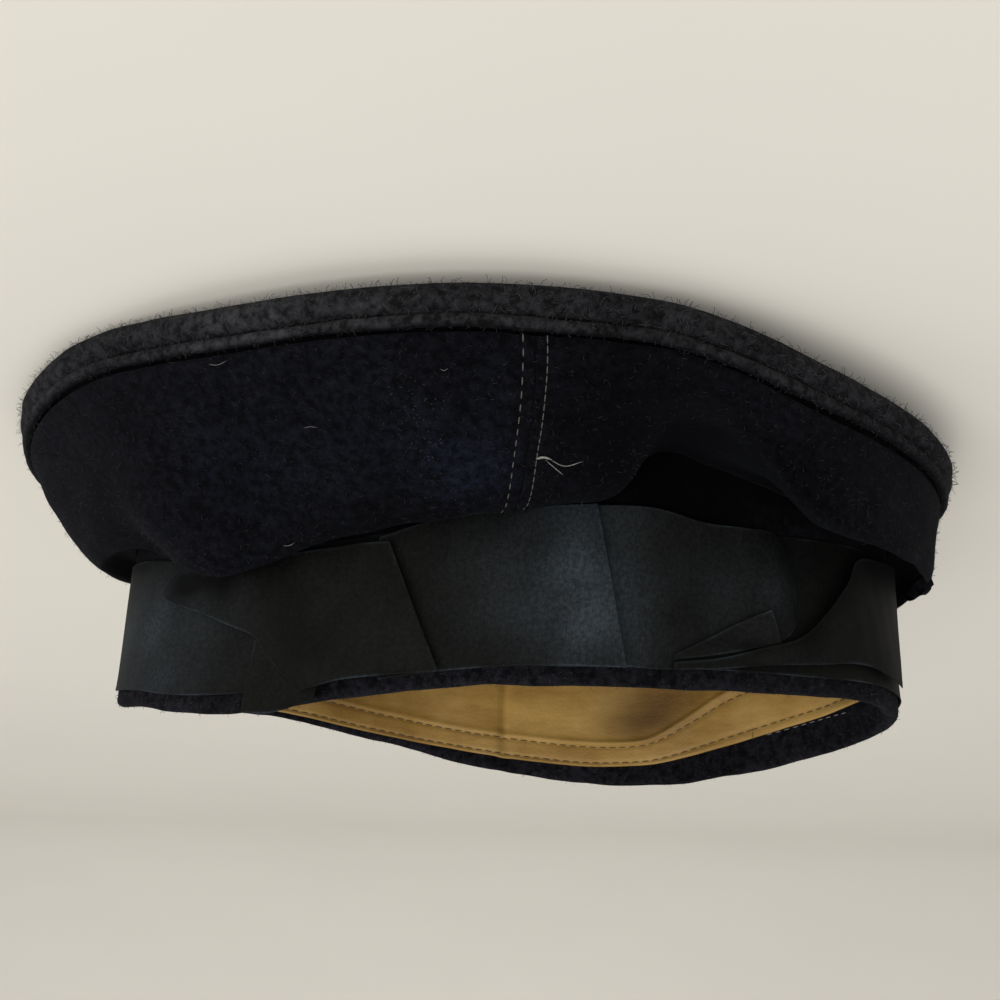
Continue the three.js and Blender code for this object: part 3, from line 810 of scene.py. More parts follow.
def under_crown_points(from_at_welt, from_at_band, to_at_welt, to_at_band, dense_end):
    share = panel_shares()[None, :]
    dense = np.linspace(0, SEAM_DENSE_DEG, SEAM_DENSE_COLUMNS, endpoint=False)
    lip = np.array([0.02, 0.05, 0.1])
    bent = np.minimum(share / SEAM_BEND_SHARE, 1.0) ** SEAM_BEND_POWER
    start = from_at_welt + (from_at_band - from_at_welt) * bent
    end = to_at_welt + (to_at_band - to_at_welt) * bent
    rest = np.linspace(SEAM_DENSE_DEG, 180.0, PANEL_COLUMNS)
    spread = np.unique(np.concatenate((dense, lip, rest))) / 180.0
    if dense_end == "to":
        spread = 1.0 - spread[::-1]
    angle = start + (end - start) * spread[:, None]
    stations = [np.broadcast_to(s, (*angle.shape, 3)) for s in under_crown_stations(angle)]
    points = soft_curve(np.stack(stations), np.broadcast_to(share, angle.shape))
    return points, angle, np.broadcast_to(share, angle.shape)


def add_folds(points, angle, share):
    """Pushes the table's soft dents and rises along the cloth's normal."""
    rise = 0.55 * ripple(points, 42.0, 21) + 0.22 * ripple(points, 15.0, 22)
    rise *= smooth_step(share, 0.0, 0.06) * (1 - smooth_step(share, 0.55, 0.75))
    for fold in FOLDS:
        centre, at, reach, share_reach, size = fold
        away = (np.mod(angle - centre + 180.0, 360.0) - 180.0) / reach
        rise = rise + size * np.exp(-away ** 2 - ((share - at) / share_reach) ** 2)
    return points + grid_normals(points, False) * rise[..., None]


def add_seam_relief(points, from_seam, row):
    """The pressed allowance stands a little proud, with a channel under each row of stitches."""
    allowance = ALLOWANCE_RISE * (1 - smooth_step(from_seam, ALLOWANCE_WIDTH - 2.0, ALLOWANCE_WIDTH + 1.5))
    channel = -0.45 * np.exp(-((from_seam - row) / 0.7) ** 2)
    return points + grid_normals(points, False) * (allowance + channel)[..., None]


def make_panel(name, node, seam_end, spans, row):
    points, angle, share = under_crown_points(*spans, dense_end=seam_end)
    points = add_folds(points, angle, share)
    lengths = grid_lengths(points)
    from_seam = lengths[..., 0] if seam_end == "from" else lengths[-1, :, 0][None, :] - lengths[..., 0]
    points = add_seam_relief(points, from_seam, row)
    lengths = grid_lengths(points)
    from_ends = np.minimum(lengths[..., 0], lengths[-1, :, 0][None, :] - lengths[..., 0])
    edge = np.minimum(from_ends, lengths[..., 1])
    round_angle = np.mod(angle, 360.0)
    # Past the fold's crest the cloth runs into the pocket above the ribbon, and its tone paints shade there.
    in_fold = smooth_step(share, 0.46, 0.56) * np.ones_like(angle)
    amounts = {"fuzz": (1 - smooth_step(share, 0.44, 0.52)) * np.ones_like(angle),
               "lint": patch_sum(LINT_PATCHES, round_angle, share),
               "tone": np.clip(patch_sum(WOOL_TONES, round_angle, share) - 0.95 * in_fold, -1.0, 1.0)}
    panel = cloth_object(name, points, lengths, WOOL, navy_wool, edge=edge, amounts=amounts)
    finish_piece(panel, "navy_wool", node)
    return panel, points, from_seam


SEAM_GAP_DEG = 0.004
front_panel, front_points, front_from_seam = make_panel(
    "wool_under_crown_front", "under_crown_front", "from",
    (FRONT_SEAM_AT_WELT + SEAM_GAP_DEG, FRONT_SEAM_AT_BAND + SEAM_GAP_DEG,
     REAR_SEAM + 360 - SEAM_GAP_DEG, REAR_SEAM + 360 - SEAM_GAP_DEG), STITCH_ROW["front"])
back_panel, back_points, back_from_seam = make_panel(
    "wool_under_crown_back", "under_crown_back", "to",
    (REAR_SEAM + SEAM_GAP_DEG, REAR_SEAM + SEAM_GAP_DEG,
     FRONT_SEAM_AT_WELT - SEAM_GAP_DEG, FRONT_SEAM_AT_BAND - SEAM_GAP_DEG), STITCH_ROW["back"])
print("under-crown panels made:", len(front_panel.data.polygons), len(back_panel.data.polygons), "faces")

# %% [markdown]
# ## The head band and its hem
# The band is one strip of wool, stitched to the under-crown below and turned in at the rim, where
# two layers and the turn make a soft round edge. Its section is a closed outline swept round the
# band's own curve. A crease runs down the far wall, where the rim has buckled.

# %% Head band
CREASE_AT, CREASE_REACH, CREASE_DEPTH = 88.0, 2.6, 2.2
BAND_STEPS = 640


def wall_dent(angle, height_below_rim):
    """How far the band's wall is pushed in, mm, most at the rim."""
    away = (np.mod(angle - CREASE_AT + 180.0, 360.0) - 180.0) / CREASE_REACH
    return -CREASE_DEPTH * np.exp(-np.abs(away) ** 1.4) * np.exp(-np.maximum(height_below_rim, 0.0) / 26.0)


def hem_profile():
    """The band's section as (out, below rim) pairs, round the outside, the fold and the inside."""
    fold_radius = HEM_THICKNESS / 2
    turns = np.radians(np.linspace(0, 180, 11))
    outside = [(0.0, below) for below in (46.0, 42.0, 36.0, 28.0, 20.0, 13.0, 9.0, 6.0, 4.0, 2.6)]
    fold = [(-fold_radius + fold_radius * math.cos(t), HEM_FOLD - HEM_FOLD * math.sin(t)) for t in turns]
    inside = [(-HEM_THICKNESS, below) for below in (3.0, 6.0, 9.0, 12.0)]
    step = [(-HEM_THICKNESS + 0.3, HEM_DEPTH), (-HEM_THICKNESS + 1.2, HEM_DEPTH + 0.8),
            (-WOOL, HEM_DEPTH + 1.2)]
    wall = [(-WOOL, below) for below in (18.0, 28.0, 36.0, 42.0, 46.0)]
    return np.array(outside + fold + inside + step + wall)


def make_head_band():
    profile = hem_profile()
    angle = ring_angles(BAND_STEPS)[:, None]
    below = profile[None, :, 1]
    foot = BAND_HEIGHT - section("crease_up", angle) + SEAM_ALLOWANCE
    below = np.where(below > 30.0, 30.0 + (below - 30.0) * (foot - 30.0) / 16.0, below)
    height = rim_height(angle) - below
    place = band_point(angle, 0.0, height)
    wave = 0.35 * ripple(place, 30.0, 31) + 0.12 * ripple(place, 9.0, 32)
    near_rim = 1 - smooth_step(below, 3.0, 16.0)
    out = profile[None, :, 0] + wall_dent(angle, below) + 0.3 * wave * near_rim
    points = band_point(angle, out, height + 0.5 * wave * near_rim)
    fuzz = np.broadcast_to(1 - smooth_step(below, 8.0, 12.0), out.shape)
    # Where the band runs down into the crease under the fold, its tone paints shade.
    in_fold = np.broadcast_to(smooth_step(below, BAND_HEIGHT - 4.0, BAND_HEIGHT), out.shape)
    return ring_object("wool_head_band", points, hem_wool_painted_lit, {"fuzz": fuzz, "tone": -in_fold})


head_band = make_head_band()
finish_piece(head_band, "navy_wool", "head_band")

# %% [markdown]
# ## The sweatband
# A strip of tan leather stands inside the rim, sewn to the hem by two rows of stitches, its two
# ends butted at one side. Wear has pressed soft creases into it. Leather doesn't ripple like
# cloth, so the creases are a short table of narrow dents, and its free edges are rounded and thin.

# %% Sweatband
LEATHER_CREASES = (
    (89.1, 1.0, 1.5), (86.6, 1.5, -0.5), (91.6, 1.6, -0.4), (75.0, 3.0, 0.5), (81.5, 2.5, 0.35),
    (100.0, 3.5, 0.5),
    (112.0, 2.6, -0.4), (124.0, 3.0, 0.45), (62.0, 3.5, -0.4), (48.0, 4.0, 0.4),
    (30.0, 5.0, -0.4), (160.0, 4.0, 0.4), (200.0, 5.0, -0.4), (300.0, 5.0, 0.4),
)
LEATHER_OUT = -HEM_THICKNESS - GAP - LEATHER_WALL - 0.1


def leather_point(angle, below_edge, out=0.0):
    """A point on the sweatband's inner face, a distance below its sewn edge."""
    top = rim_height(angle) - section("leather_in", angle)
    height = top - below_edge
    push = wall_dent(angle, section("leather_in", angle) + below_edge)
    for centre, reach, size in LEATHER_CREASES:
        away = (np.mod(angle - centre + 180.0, 360.0) - 180.0) / reach
        push = push + size * np.exp(-away ** 2) * np.minimum(0.35 + below_edge / 14.0, 1.0)
    place = band_point(angle, LEATHER_OUT, height)
    push = push + 0.35 * ripple(place, 38.0, 41) + 0.10 * ripple(place, 10.0, 42)
    return band_point(angle, LEATHER_OUT + push - out, height + 0.2 * ripple(place, 28.0, 43))


def row_below(row, angle):
    """How far a row of stitches runs below the edge: the rows spread apart towards the rear join."""
    around = np.mod(angle, 360.0)
    spread = smooth_step(around, 112.0, 134.0) * (1 - smooth_step(around, 175.0, 215.0))
    return row + SPREAD_SHARE * row * spread


def make_sweatband():
    join_half_gap = 0.008
    start = SWEATBAND_JOIN + join_half_gap
    turn = np.linspace(0, 360 - 2 * join_half_gap, 660)
    turn = np.unique(np.concatenate((turn, [0.05, 0.12, 0.2, 359.74, 359.82, 359.89])))
    angle = (start + turn)[:, None]
    below = np.array([0, 0.15, 0.35, 0.7, 1.1, 1.5, 2, 2.6, 3.6, 4.8, 5.4, 5.9, 6.3, 6.7, 7.2, 7.8, 8.4,
                      9.2, 10, 10.8, 11.6, 12.4, 13.2, 14, 14.8, 15.6, 16.4, 17.2, 18, 20, 23, 27, 32,
                      34, 35, 35.6, 35.85, 36])[None, :]
    points = leather_point(angle, below)
    relief = 0.0
    for row in SWEATBAND_ROWS:
        relief = relief - STITCH_CHANNEL * np.exp(-((below - row_below(row, angle)) / 0.45) ** 2)
    strained = patch_sum(((115.0, 0.0, 18.0, 100.0, 0.9),), np.mod(angle, 360.0), below)
    relief = relief + (0.35 + strained) * np.exp(-((below - row_below(RIDGE_BELOW, angle)) / 0.9) ** 2)
    points = points + grid_normals(points, False) * relief[..., None]
    lengths = grid_lengths(points)
    from_ends = np.minimum(lengths[..., 0], lengths[-1, :, 0][None, :] - lengths[..., 0])
    from_ends = from_ends + 0.35 * np.maximum(below - JOIN_NOTCH, 0.0)
    edge = np.minimum(from_ends, np.minimum(lengths[..., 1], lengths[:, -1, 1][:, None] - lengths[..., 1]))
    tone = np.clip(patch_sum(LEATHER_TONES, np.mod(angle, 360.0), below), -1.0, 1.0)
    return cloth_object("leather_sweatband", points, lengths, LEATHER_WALL, tan_leather, edge=edge,
                        amounts={"tone": tone})


SWEATBAND_ROWS = (1.1, 6.3)
STITCH_CHANNEL, RIDGE_BELOW, JOIN_NOTCH, SPREAD_SHARE = 0.40, 7.6, 1.5, 1.3
# Tone patches on the sweatband, each (angle, below edge, reach in angle, reach below, amount): painted shade
# in the hollow near 115 degrees, beside the crease and near 62 degrees; painted light on the far wall's
# middle, on the crease's ridge and near 80 degrees.
LEATHER_TONES = (
    (116.0, 19.0, 9.0, 9.0, -0.70),
    (112.0, 13.0, 9.0, 5.0, -0.45),
    (93.5, 15.0, 9.0, 8.0, 0.9),
    (89.2, 14.0, 0.8, 14.0, 0.5),
    (86.4, 14.0, 1.2, 14.0, -0.3),
    (80.0, 6.0, 30.0, 4.0, 0.2),
    (62.0, 8.0, 9.0, 8.0, -0.3),
)
sweatband = make_sweatband()
finish_piece(sweatband, "tan_leather", "sweatband")
print("head band and sweatband made:", len(head_band.data.polygons), len(sweatband.data.polygons), "faces")

# %% [markdown]
# ## The ribbon and its flat bow
# The tally ribbon is thin silk, once round the band. Its bow is made of flat folded lengths laid on
# it: a middle panel, a front loop that curls open at its end, a tail below, and on the rear side a
# leaf with a twisted fold and a long loop. Each is a strip ruled between its upper and lower
# edge, which is how a ribbon bends, with woven selvages that stand up a little and catch light.

# %% Tally ribbon
# Patches of painted light on the silk, where the ribbon faces the light: each is (along, height, reach along,
# reach in height, amount).
RIBBON_PAINTED_LIGHT = (
    (-26.0, 62.0, 13.0, 24.0, 0.9),
    (-6.0, 58.0, 13.0, 16.0, 0.3),
    (96.0, 68.0, 20.0, 18.0, 0.62),
    (-64.0, 58.0, 16.0, 12.0, 0.22),
    (118.0, 64.0, 14.0, 12.0, 0.5),
)


def painted_light_and_pale_edges(along, height, from_edge):
    """How far the silk is made paler: painted light in a few patches where the ribbon faces the light, and a
    paler line here and there along its selvages.
    """
    place = np.stack(np.broadcast_arrays(along, height, 0.0), -1)
    patches = patch_sum(RIBBON_PAINTED_LIGHT, along, height) * (0.85 + 0.25 * ripple(place, 14.0, 71))
    selvage = np.exp(-(from_edge / 0.4) ** 2) * np.clip(0.22 + 0.35 * ripple(place, 16.0, 72), 0.0, 0.8)
    return np.clip(patches + selvage, 0.0, 1.0)


def make_tally_ribbon():
    angle = ring_angles(BAND_STEPS)[:, None]
    down = np.array([0, 0.2, 0.5, 0.9, 1.5, 4, 9, 14, 19, 24, 29, 33, 36, 36.6, 37, 37.3, 37.5])[None, :]
    height = rim_height(angle) - RIBBON_ABOVE_HEM - RIBBON_WIDTH + down
    place = band_point(angle, 0.0, height)
    ease = 0.10 * (ripple(place, 45.0, 51) + 1.4)
    selvage = 0.10 * np.exp(-(np.minimum(down, RIBBON_WIDTH - down) / 0.5) ** 2)
    from_edge = np.maximum(RIBBON_WIDTH - down, 0.0)
    lift = 0.35 * np.exp(-from_edge / 3.0) * (1 + 0.5 * ripple(place, 26.0, 52))
    points = band_point(angle, GAP + 0.20 + ease + selvage + lift, height + 0.15 * ripple(place, 50.0, 53))
    lengths = grid_lengths(points)
    edge = np.broadcast_to(np.minimum(down, RIBBON_WIDTH - down), points.shape[:2])
    lightened = painted_light_and_pale_edges(np.broadcast_to(along_at(angle), edge.shape), height, edge)
    return cloth_object("silk_tally_ribbon", points, lengths, RIBBON_WALL, silk_ribbon,
                        closed=True, edge=edge, amounts={"lightened": lightened})


tally_ribbon = make_tally_ribbon()
finish_piece(tally_ribbon, "black_ribbon", "tally_ribbon")

# %% Flat bow
# Each rib: its top's place along and height, its foot's the same, how far out each is, the belly.
BOW = {
    "bow_centre": (
        (28, 46.5, 26, 84, 3.9, 3.9, 0),
        (12, 42, 9, 82, 3.9, 3.9, 0),
        (-8, 39.5, -13, 80.5, 4, 4.2, 0.6),
        (-27.4, 38, -34.6, 80.5, 4.2, 4.8, 0.6),
    ),
    "bow_left_loop": (
        (24.6, 48.5, 10.4, 82.6, 5.9, 6.0, 0.2),
        (32, 48.5, 25, 83.3, 5.8, 5.4, 0.4),
        (38.5, 48.8, 36, 84.1, 5.0, 4.8, 0.6),
        (43.5, 49, 43.2, 85.6, 4.7, 4.5, 0.8),
        (46.4, 49.2, 46.4, 86.0, 4.6, 4.4, 0.9),
        (49.4, 49.4, 49.4, 84.0, 4.5, 4.4, 1.0),
        (53.3, 49.6, 53.3, 80.5, 4.4, 4.4, 1.1),
        (56.9, 49.8, 56.9, 76.7, 4.4, 4.3, 1.2),
        (59.8, 50, 59.8, 72.7, 4.4, 4.3, 1.3),
        (62.4, 50, 62.4, 70.8, 4.4, 4.3, 1.3),
        (69, 50, 69, 68.0, 4.4, 4.2, 0.8),
        (79, 50.2, 79, 63.6, 4.5, 4.0, -0.5),
        (86, 50.8, 86.4, 60.8, 4.6, 3.8, -1.2),
        (90.6, 52.0, 91.2, 58.8, 4.2, 3.4, -0.9),
        (93.6, 54.0, 94.0, 57.5, 3.6, 3.0, -0.3),
        (94.9, 55.4, 95.1, 56.4, 3.2, 3.0, 0),
    ),
    "bow_tail": (
        (61.9, 72, 64.0, 90.8, 2.4, 2.5, 0),
        (54, 73, 55.5, 91.4, 2.4, 2.5, 0),
        (41, 79, 43.6, 88.3, 2.4, 2.4, 0),
    ),
    "bow_right_leaf": (
        (-24, 38, -26, 79, 2.6, 2.6, 0),
        (-41.3, 37.7, -45.9, 79.8, 2.6, 2.6, 0),
        (-56, 40.5, -60, 76, 2.6, 2.6, 0.3),
        (-67, 40.5, -72, 71.5, 2.7, 2.6, 0.9),
        (-74.2, 41, -79, 67, 2.9, 2.7, 1.4),
        (-79.6, 49, -80.2, 62, 2.9, 2.7, 1.0),
    ),
    "bow_right_fold": (
        (-46, 76.4, -46.2, 77.6, 4.2, 4.2, 0),
        (-55, 71.4, -56, 75.8, 4.3, 4.3, 0.4),
        (-64, 66.2, -65.6, 73.4, 4.6, 4.5, 0.6),
        (-71.8, 62.4, -74.4, 70.6, 4.8, 4.6, 0.3),
    ),
    "bow_right_loop": (
        (-46, 78.2, -46, 80.2, 4.2, 4.2, 0),
        (-58, 76.2, -58, 79, 4.2, 4.2, 0),
        (-70.6, 72, -70, 77, 4.3, 4.2, 0.3),
        (-80, 68.6, -82, 75.3, 4.8, 3.8, 0.6),
        (-88, 60.5, -90, 74, 6.0, 3.4, 1.0),
        (-94.5, 52, -98, 72.5, 6.6, 3.0, 1.2),
        (-98.5, 45, -106, 72, 6.4, 2.8, 1.2),
        (-110, 42, -115, 73, 4.4, 2.7, 0.6),
        (-124, 40, -125, 74, 2.7, 2.6, 0),
    ),
}


CUT_END_PALING = 0.9
BOW_ROWS_ACROSS, BOW_RIB_STEP = 18, 0.9
# Tone patches on the bow, each (along, height, reach along, reach in height, amount): painted shade in the
# front loop's curled end and lower middle, in the rear loop's hollow, down the rear leaf's end and on part of
# the twisted fold; a little painted light on the front loop and on another part of the fold. The least width
# in metres and share of width times length that a sheet is declared with. The small twisted fold is narrower
# than this, so its declared width is larger than its real one.
BOW_TONES = {
    "bow_left_loop": ((84.0, 54.5, 9.0, 4.0, -1.3), (72.0, 56.0, 4.0, 6.0, -0.9),
                      (50.0, 76.0, 10.0, 8.0, -0.4), (34.0, 66.0, 10.0, 14.0, 0.15)),
    "bow_right_loop": ((-82.0, 66.0, 6.0, 8.0, -0.8), (-88.0, 54.0, 6.0, 8.0, -0.8)),
    "bow_right_leaf": ((-79.0, 52.0, 3.0, 14.0, -0.5),),
    "bow_right_fold": ((-66.0, 73.0, 8.0, 2.0, -0.7), (-70.0, 66.0, 5.0, 4.0, 0.5)),
}


def edge_spread(count):
    """Shares from 0 to 1, closer together at both ends."""
    return np.unique(np.concatenate(([0, 0.004, 0.010, 0.02, 0.035], np.linspace(0.06, 0.94, count),
                                     [0.965, 0.98, 0.99, 0.996, 1])))


def make_bow_piece(node, ribs, seed):
    ribs = np.array(ribs, float)
    span = np.abs(np.diff(ribs[:, 0])).sum()
    across = edge_spread(BOW_ROWS_ACROSS)
    along = edge_spread(int(span / BOW_RIB_STEP))
    top = soft_curve(ribs[:, None, [0, 1, 4]], along)
    foot = soft_curve(ribs[:, None, [2, 3, 5]], along)
    belly = soft_curve(np.stack((ribs[:, 6], 0 * ribs[:, 6], 0 * ribs[:, 6]), -1)[:, None, :], along)[:, 0]
    share = across[None, :, None]
    place = top[:, None, :] * (1 - share) + foot[:, None, :] * share
    out = place[..., 2] + belly[:, None] * np.sin(math.pi * across)[None, :]
    angle = angle_along(place[..., 0])
    points = band_point(angle, out, place[..., 1])
    soft_across = np.minimum(1.0, 6 * across * (1 - across))
    soft_along = np.minimum(1.0, 6 * along * (1 - along))
    soft = soft_across[None, :] * soft_along[:, None]
    waves = 0.16 * ripple(points, 22.0, seed) + 0.06 * ripple(points, 7.0, seed + 1)
    out = out + waves * (0.35 + 0.65 * soft)
    points = band_point(angle, out, place[..., 1])
    lengths = grid_lengths(points)
    from_ends = np.minimum(lengths[..., 0], lengths[-1, :, 0][None, :] - lengths[..., 0])
    from_sides = np.minimum(lengths[..., 1], lengths[:, -1, 1][:, None] - lengths[..., 1])
    edge = np.minimum(from_ends, from_sides)
    flip = ribs[0, 0] > ribs[-1, 0]
    points = points + (grid_normals(points, False) * (0.12 * np.exp(-(edge / 0.45) ** 2))[..., None]
                       * (-1 if flip else 1))
    lightened = painted_light_and_pale_edges(place[..., 0], place[..., 1], edge)
    if node == "bow_centre":
        from_cut_end = lengths[-1, :, 0][None, :] - lengths[..., 0]
        lightened = np.maximum(lightened, CUT_END_PALING * np.exp(-(from_cut_end / 0.4) ** 2))
    tone = np.clip(patch_sum(BOW_TONES.get(node, ()), place[..., 0], place[..., 1]) + 0 * edge, -1.0, 1.0)
    piece = cloth_object("silk_" + node, points, lengths, RIBBON_WALL, silk_ribbon, flip=flip, edge=edge,
                         amounts={"lightened": lightened, "tone": tone})
    finish_piece(piece, "black_ribbon", node)
    return piece


bow_pieces = {node: make_bow_piece(node, ribs, 60 + 2 * i) for i, (node, ribs) in enumerate(BOW.items())}
print("bow made:", {name: len(piece.data.polygons) for name, piece in bow_pieces.items()})

# %% [markdown]
# ## Stitches
# Sewing repeats along a line, so Geometry Nodes place it: a line of points on the cloth is cut at the
# stitch pitch, and one small thread shape is set on each cut, turned along the line. The seam's
# topstitch, the sweatband's two rows and the hem's few loose stitches share one node tree.

# %% Stitch node tree
def tree_interface(tree, sockets):
    tree.interface.new_socket("Geometry", in_out="INPUT", socket_type="NodeSocketGeometry")
    for name, kind in sockets:
        tree.interface.new_socket(name, in_out="INPUT", socket_type=kind)
    tree.interface.new_socket("Geometry", in_out="OUTPUT", socket_type="NodeSocketGeometry")
    return tree.nodes.new("NodeGroupInput").outputs, tree.nodes.new("NodeGroupOutput").inputs


def build_stitch_tree():
    tree = bpy.data.node_groups.new("stitches", "GeometryNodeTree")
    given, result = tree_interface(tree, (("Pitch", "NodeSocketFloat"), ("Length", "NodeSocketFloat"),
                                          ("Thickness", "NodeSocketFloat"), ("Thread", "NodeSocketMaterial")))
    line = add_node(tree, "GeometryNodeMeshToCurve", {"Mesh": given["Geometry"]})
    cut = add_node(tree, "GeometryNodeResampleCurve",
                   {"Curve": line.outputs[0], "Length": given["Pitch"]}, mode="LENGTH")
    tangent = add_node(tree, "GeometryNodeInputTangent")
    normal = add_node(tree, "GeometryNodeInputNamedAttribute", {"Name": "cloth_normal"},
                      data_type="FLOAT_VECTOR")
    along = add_node(tree, "FunctionNodeAlignRotationToVector", {"Vector": tangent.outputs[0]}, axis="X")
    facing = add_node(tree, "FunctionNodeAlignRotationToVector",
                      {"Rotation": along.outputs[0], "Vector": normal.outputs[0]}, axis="Z", pivot_axis="X")
    ball = add_node(tree, "GeometryNodeMeshUVSphere", {"Segments": 8, "Rings": 6, "Radius": 0.5})
    size = add_node(tree, "ShaderNodeCombineXYZ",
                    {"X": given["Length"], "Y": given["Thickness"], "Z": given["Thickness"]})
    placed = add_node(tree, "GeometryNodeInstanceOnPoints",
                      {"Points": cut.outputs[0], "Instance": ball.outputs[0], "Rotation": facing.outputs[0],
                       "Scale": size.outputs[0]})
    real = add_node(tree, "GeometryNodeRealizeInstances", {"Geometry": placed.outputs[0]})
    finished = add_node(tree, "GeometryNodeSetMaterial",
                        {"Geometry": real.outputs[0], "Material": given["Thread"]})
    tree.links.new(finished.outputs[0], result["Geometry"])
    return tree


def bake_nodes(name, mesh, tree, values):
    """Runs a node tree on a mesh with its inputs set, and keeps the result as a plain mesh."""
    source = bpy.data.objects.new(name + "_source", mesh)
    bpy.context.scene.collection.objects.link(source)
    modifier = source.modifiers.new(name, "NODES")
    modifier.node_group = tree
    for item in tree.interface.items_tree:
        if item.in_out == "INPUT" and item.name in values:
            modifier[item.identifier] = values[item.name]
    evaluated = source.evaluated_get(bpy.context.evaluated_depsgraph_get())
    result = bpy.data.meshes.new_from_object(evaluated)
    result.polygons.foreach_set("use_smooth", [True] * len(result.polygons))
    bpy.data.objects.remove(source)
    piece = bpy.data.objects.new(name, result)
    bpy.context.scene.collection.objects.link(piece)
    return piece


def line_mesh(name, points, normals):
    mesh = bpy.data.meshes.new(name)
    mesh.from_pydata(((points + ORIGIN) * MM).tolist(), [(i, i + 1) for i in range(len(points) - 1)], [])
    attribute = mesh.attributes.new("cloth_normal", "FLOAT_VECTOR", "POINT")
    attribute.data.foreach_set("vector", normals.astype(np.float32).ravel())
    return mesh


stitch_tree = build_stitch_tree()


# %% Topstitching beside the seam
def seam_row(points, from_seam, distance, low_share, high_share):
    """The line on a panel that keeps a distance from the seam."""
    normals = grid_normals(points, False)
    rows = np.arange(points.shape[1])
    line, facing = [], []
    for k in rows[int(low_share * len(rows)):int(high_share * len(rows))]:
        order = np.argsort(from_seam[:, k])
        line.append([np.interp(distance, from_seam[order, k], points[order, k, axis]) for axis in range(3)])
        facing.append(normals[order[np.searchsorted(from_seam[order, k], distance)], k])
    return np.array(line), np.array(facing)


def make_stitches(name, line, facing, pitch, length, thickness, material, slot, lift=0.12):
    mesh = line_mesh(name, line + facing * lift, facing)
    piece = bake_nodes(name, mesh, stitch_tree, {"Pitch": pitch * MM, "Length": length * MM,
                                                 "Thickness": thickness * MM, "Thread": material})
    finish_piece(piece, slot)
    return piece


row_front = seam_row(front_points, front_from_seam, STITCH_ROW["front"], 0.03, 0.74)
row_back = seam_row(back_points, back_from_seam, STITCH_ROW["back"], 0.03, 0.74)
make_stitches("topstitch_front", *row_front, 3.4, 2.3, 0.34, wool_thread, "navy_wool", lift=0.05)
make_stitches("topstitch_back", *row_back, 2.4, 2.25, 0.30, wool_thread, "navy_wool", lift=0.0)


# %% Stitches of the sweatband and the hem
SWEATBAND_ROW_POINTS = 900


def sweatband_row(below, first, last):
    angle = np.linspace(first, last, SWEATBAND_ROW_POINTS)
    line = leather_point(angle, row_below(below, angle))
    inward = line - band_point(angle, 0.0, line[:, 2])
    return line, inward / np.linalg.norm(inward, axis=1, keepdims=True)


for number, below in enumerate(SWEATBAND_ROWS):
    row = sweatband_row(below, SWEATBAND_JOIN + 0.6, SWEATBAND_JOIN + 359.4)
    make_stitches(f"sweatband_stitches_{number + 1}", *row, 3.3, 2.5, 0.34, tan_thread, "tan_leather",
                  lift=-0.08)


HEM_ROW_POINTS = 160


def hem_row(first, last, out, start_gap, end_gap):
    """A row on the hem's inner face, that leaves the leather's edge slowly."""
    angle = np.linspace(first, last, HEM_ROW_POINTS)
    from_leather = np.linspace(start_gap, end_gap, HEM_ROW_POINTS)
    height = rim_height(angle) - section("leather_in", angle) + from_leather
    line = band_point(angle, out, height)
    inward = band_point(angle, out - 1.0, height) - line
    return line, inward


make_stitches("hem_stitches", *hem_row(139.5, 161.0, -HEM_THICKNESS, 0.1, 1.4), 3.1, 2.1, 0.34, pale_hair,
              "navy_wool", lift=0.1)

# %% [markdown]
# ## Nap, lint and loose threads
# Felted wool has a fringe of fine fibres that shows along every edge, and it picks up lint. A particle
# system can't be exported, so Geometry Nodes scatter one thin bent fibre over the cloth, thicker
# where the cloth's own fuzz value is high, and the result is kept as a mesh. A few loose threads
# are single thin tubes laid on the surface.

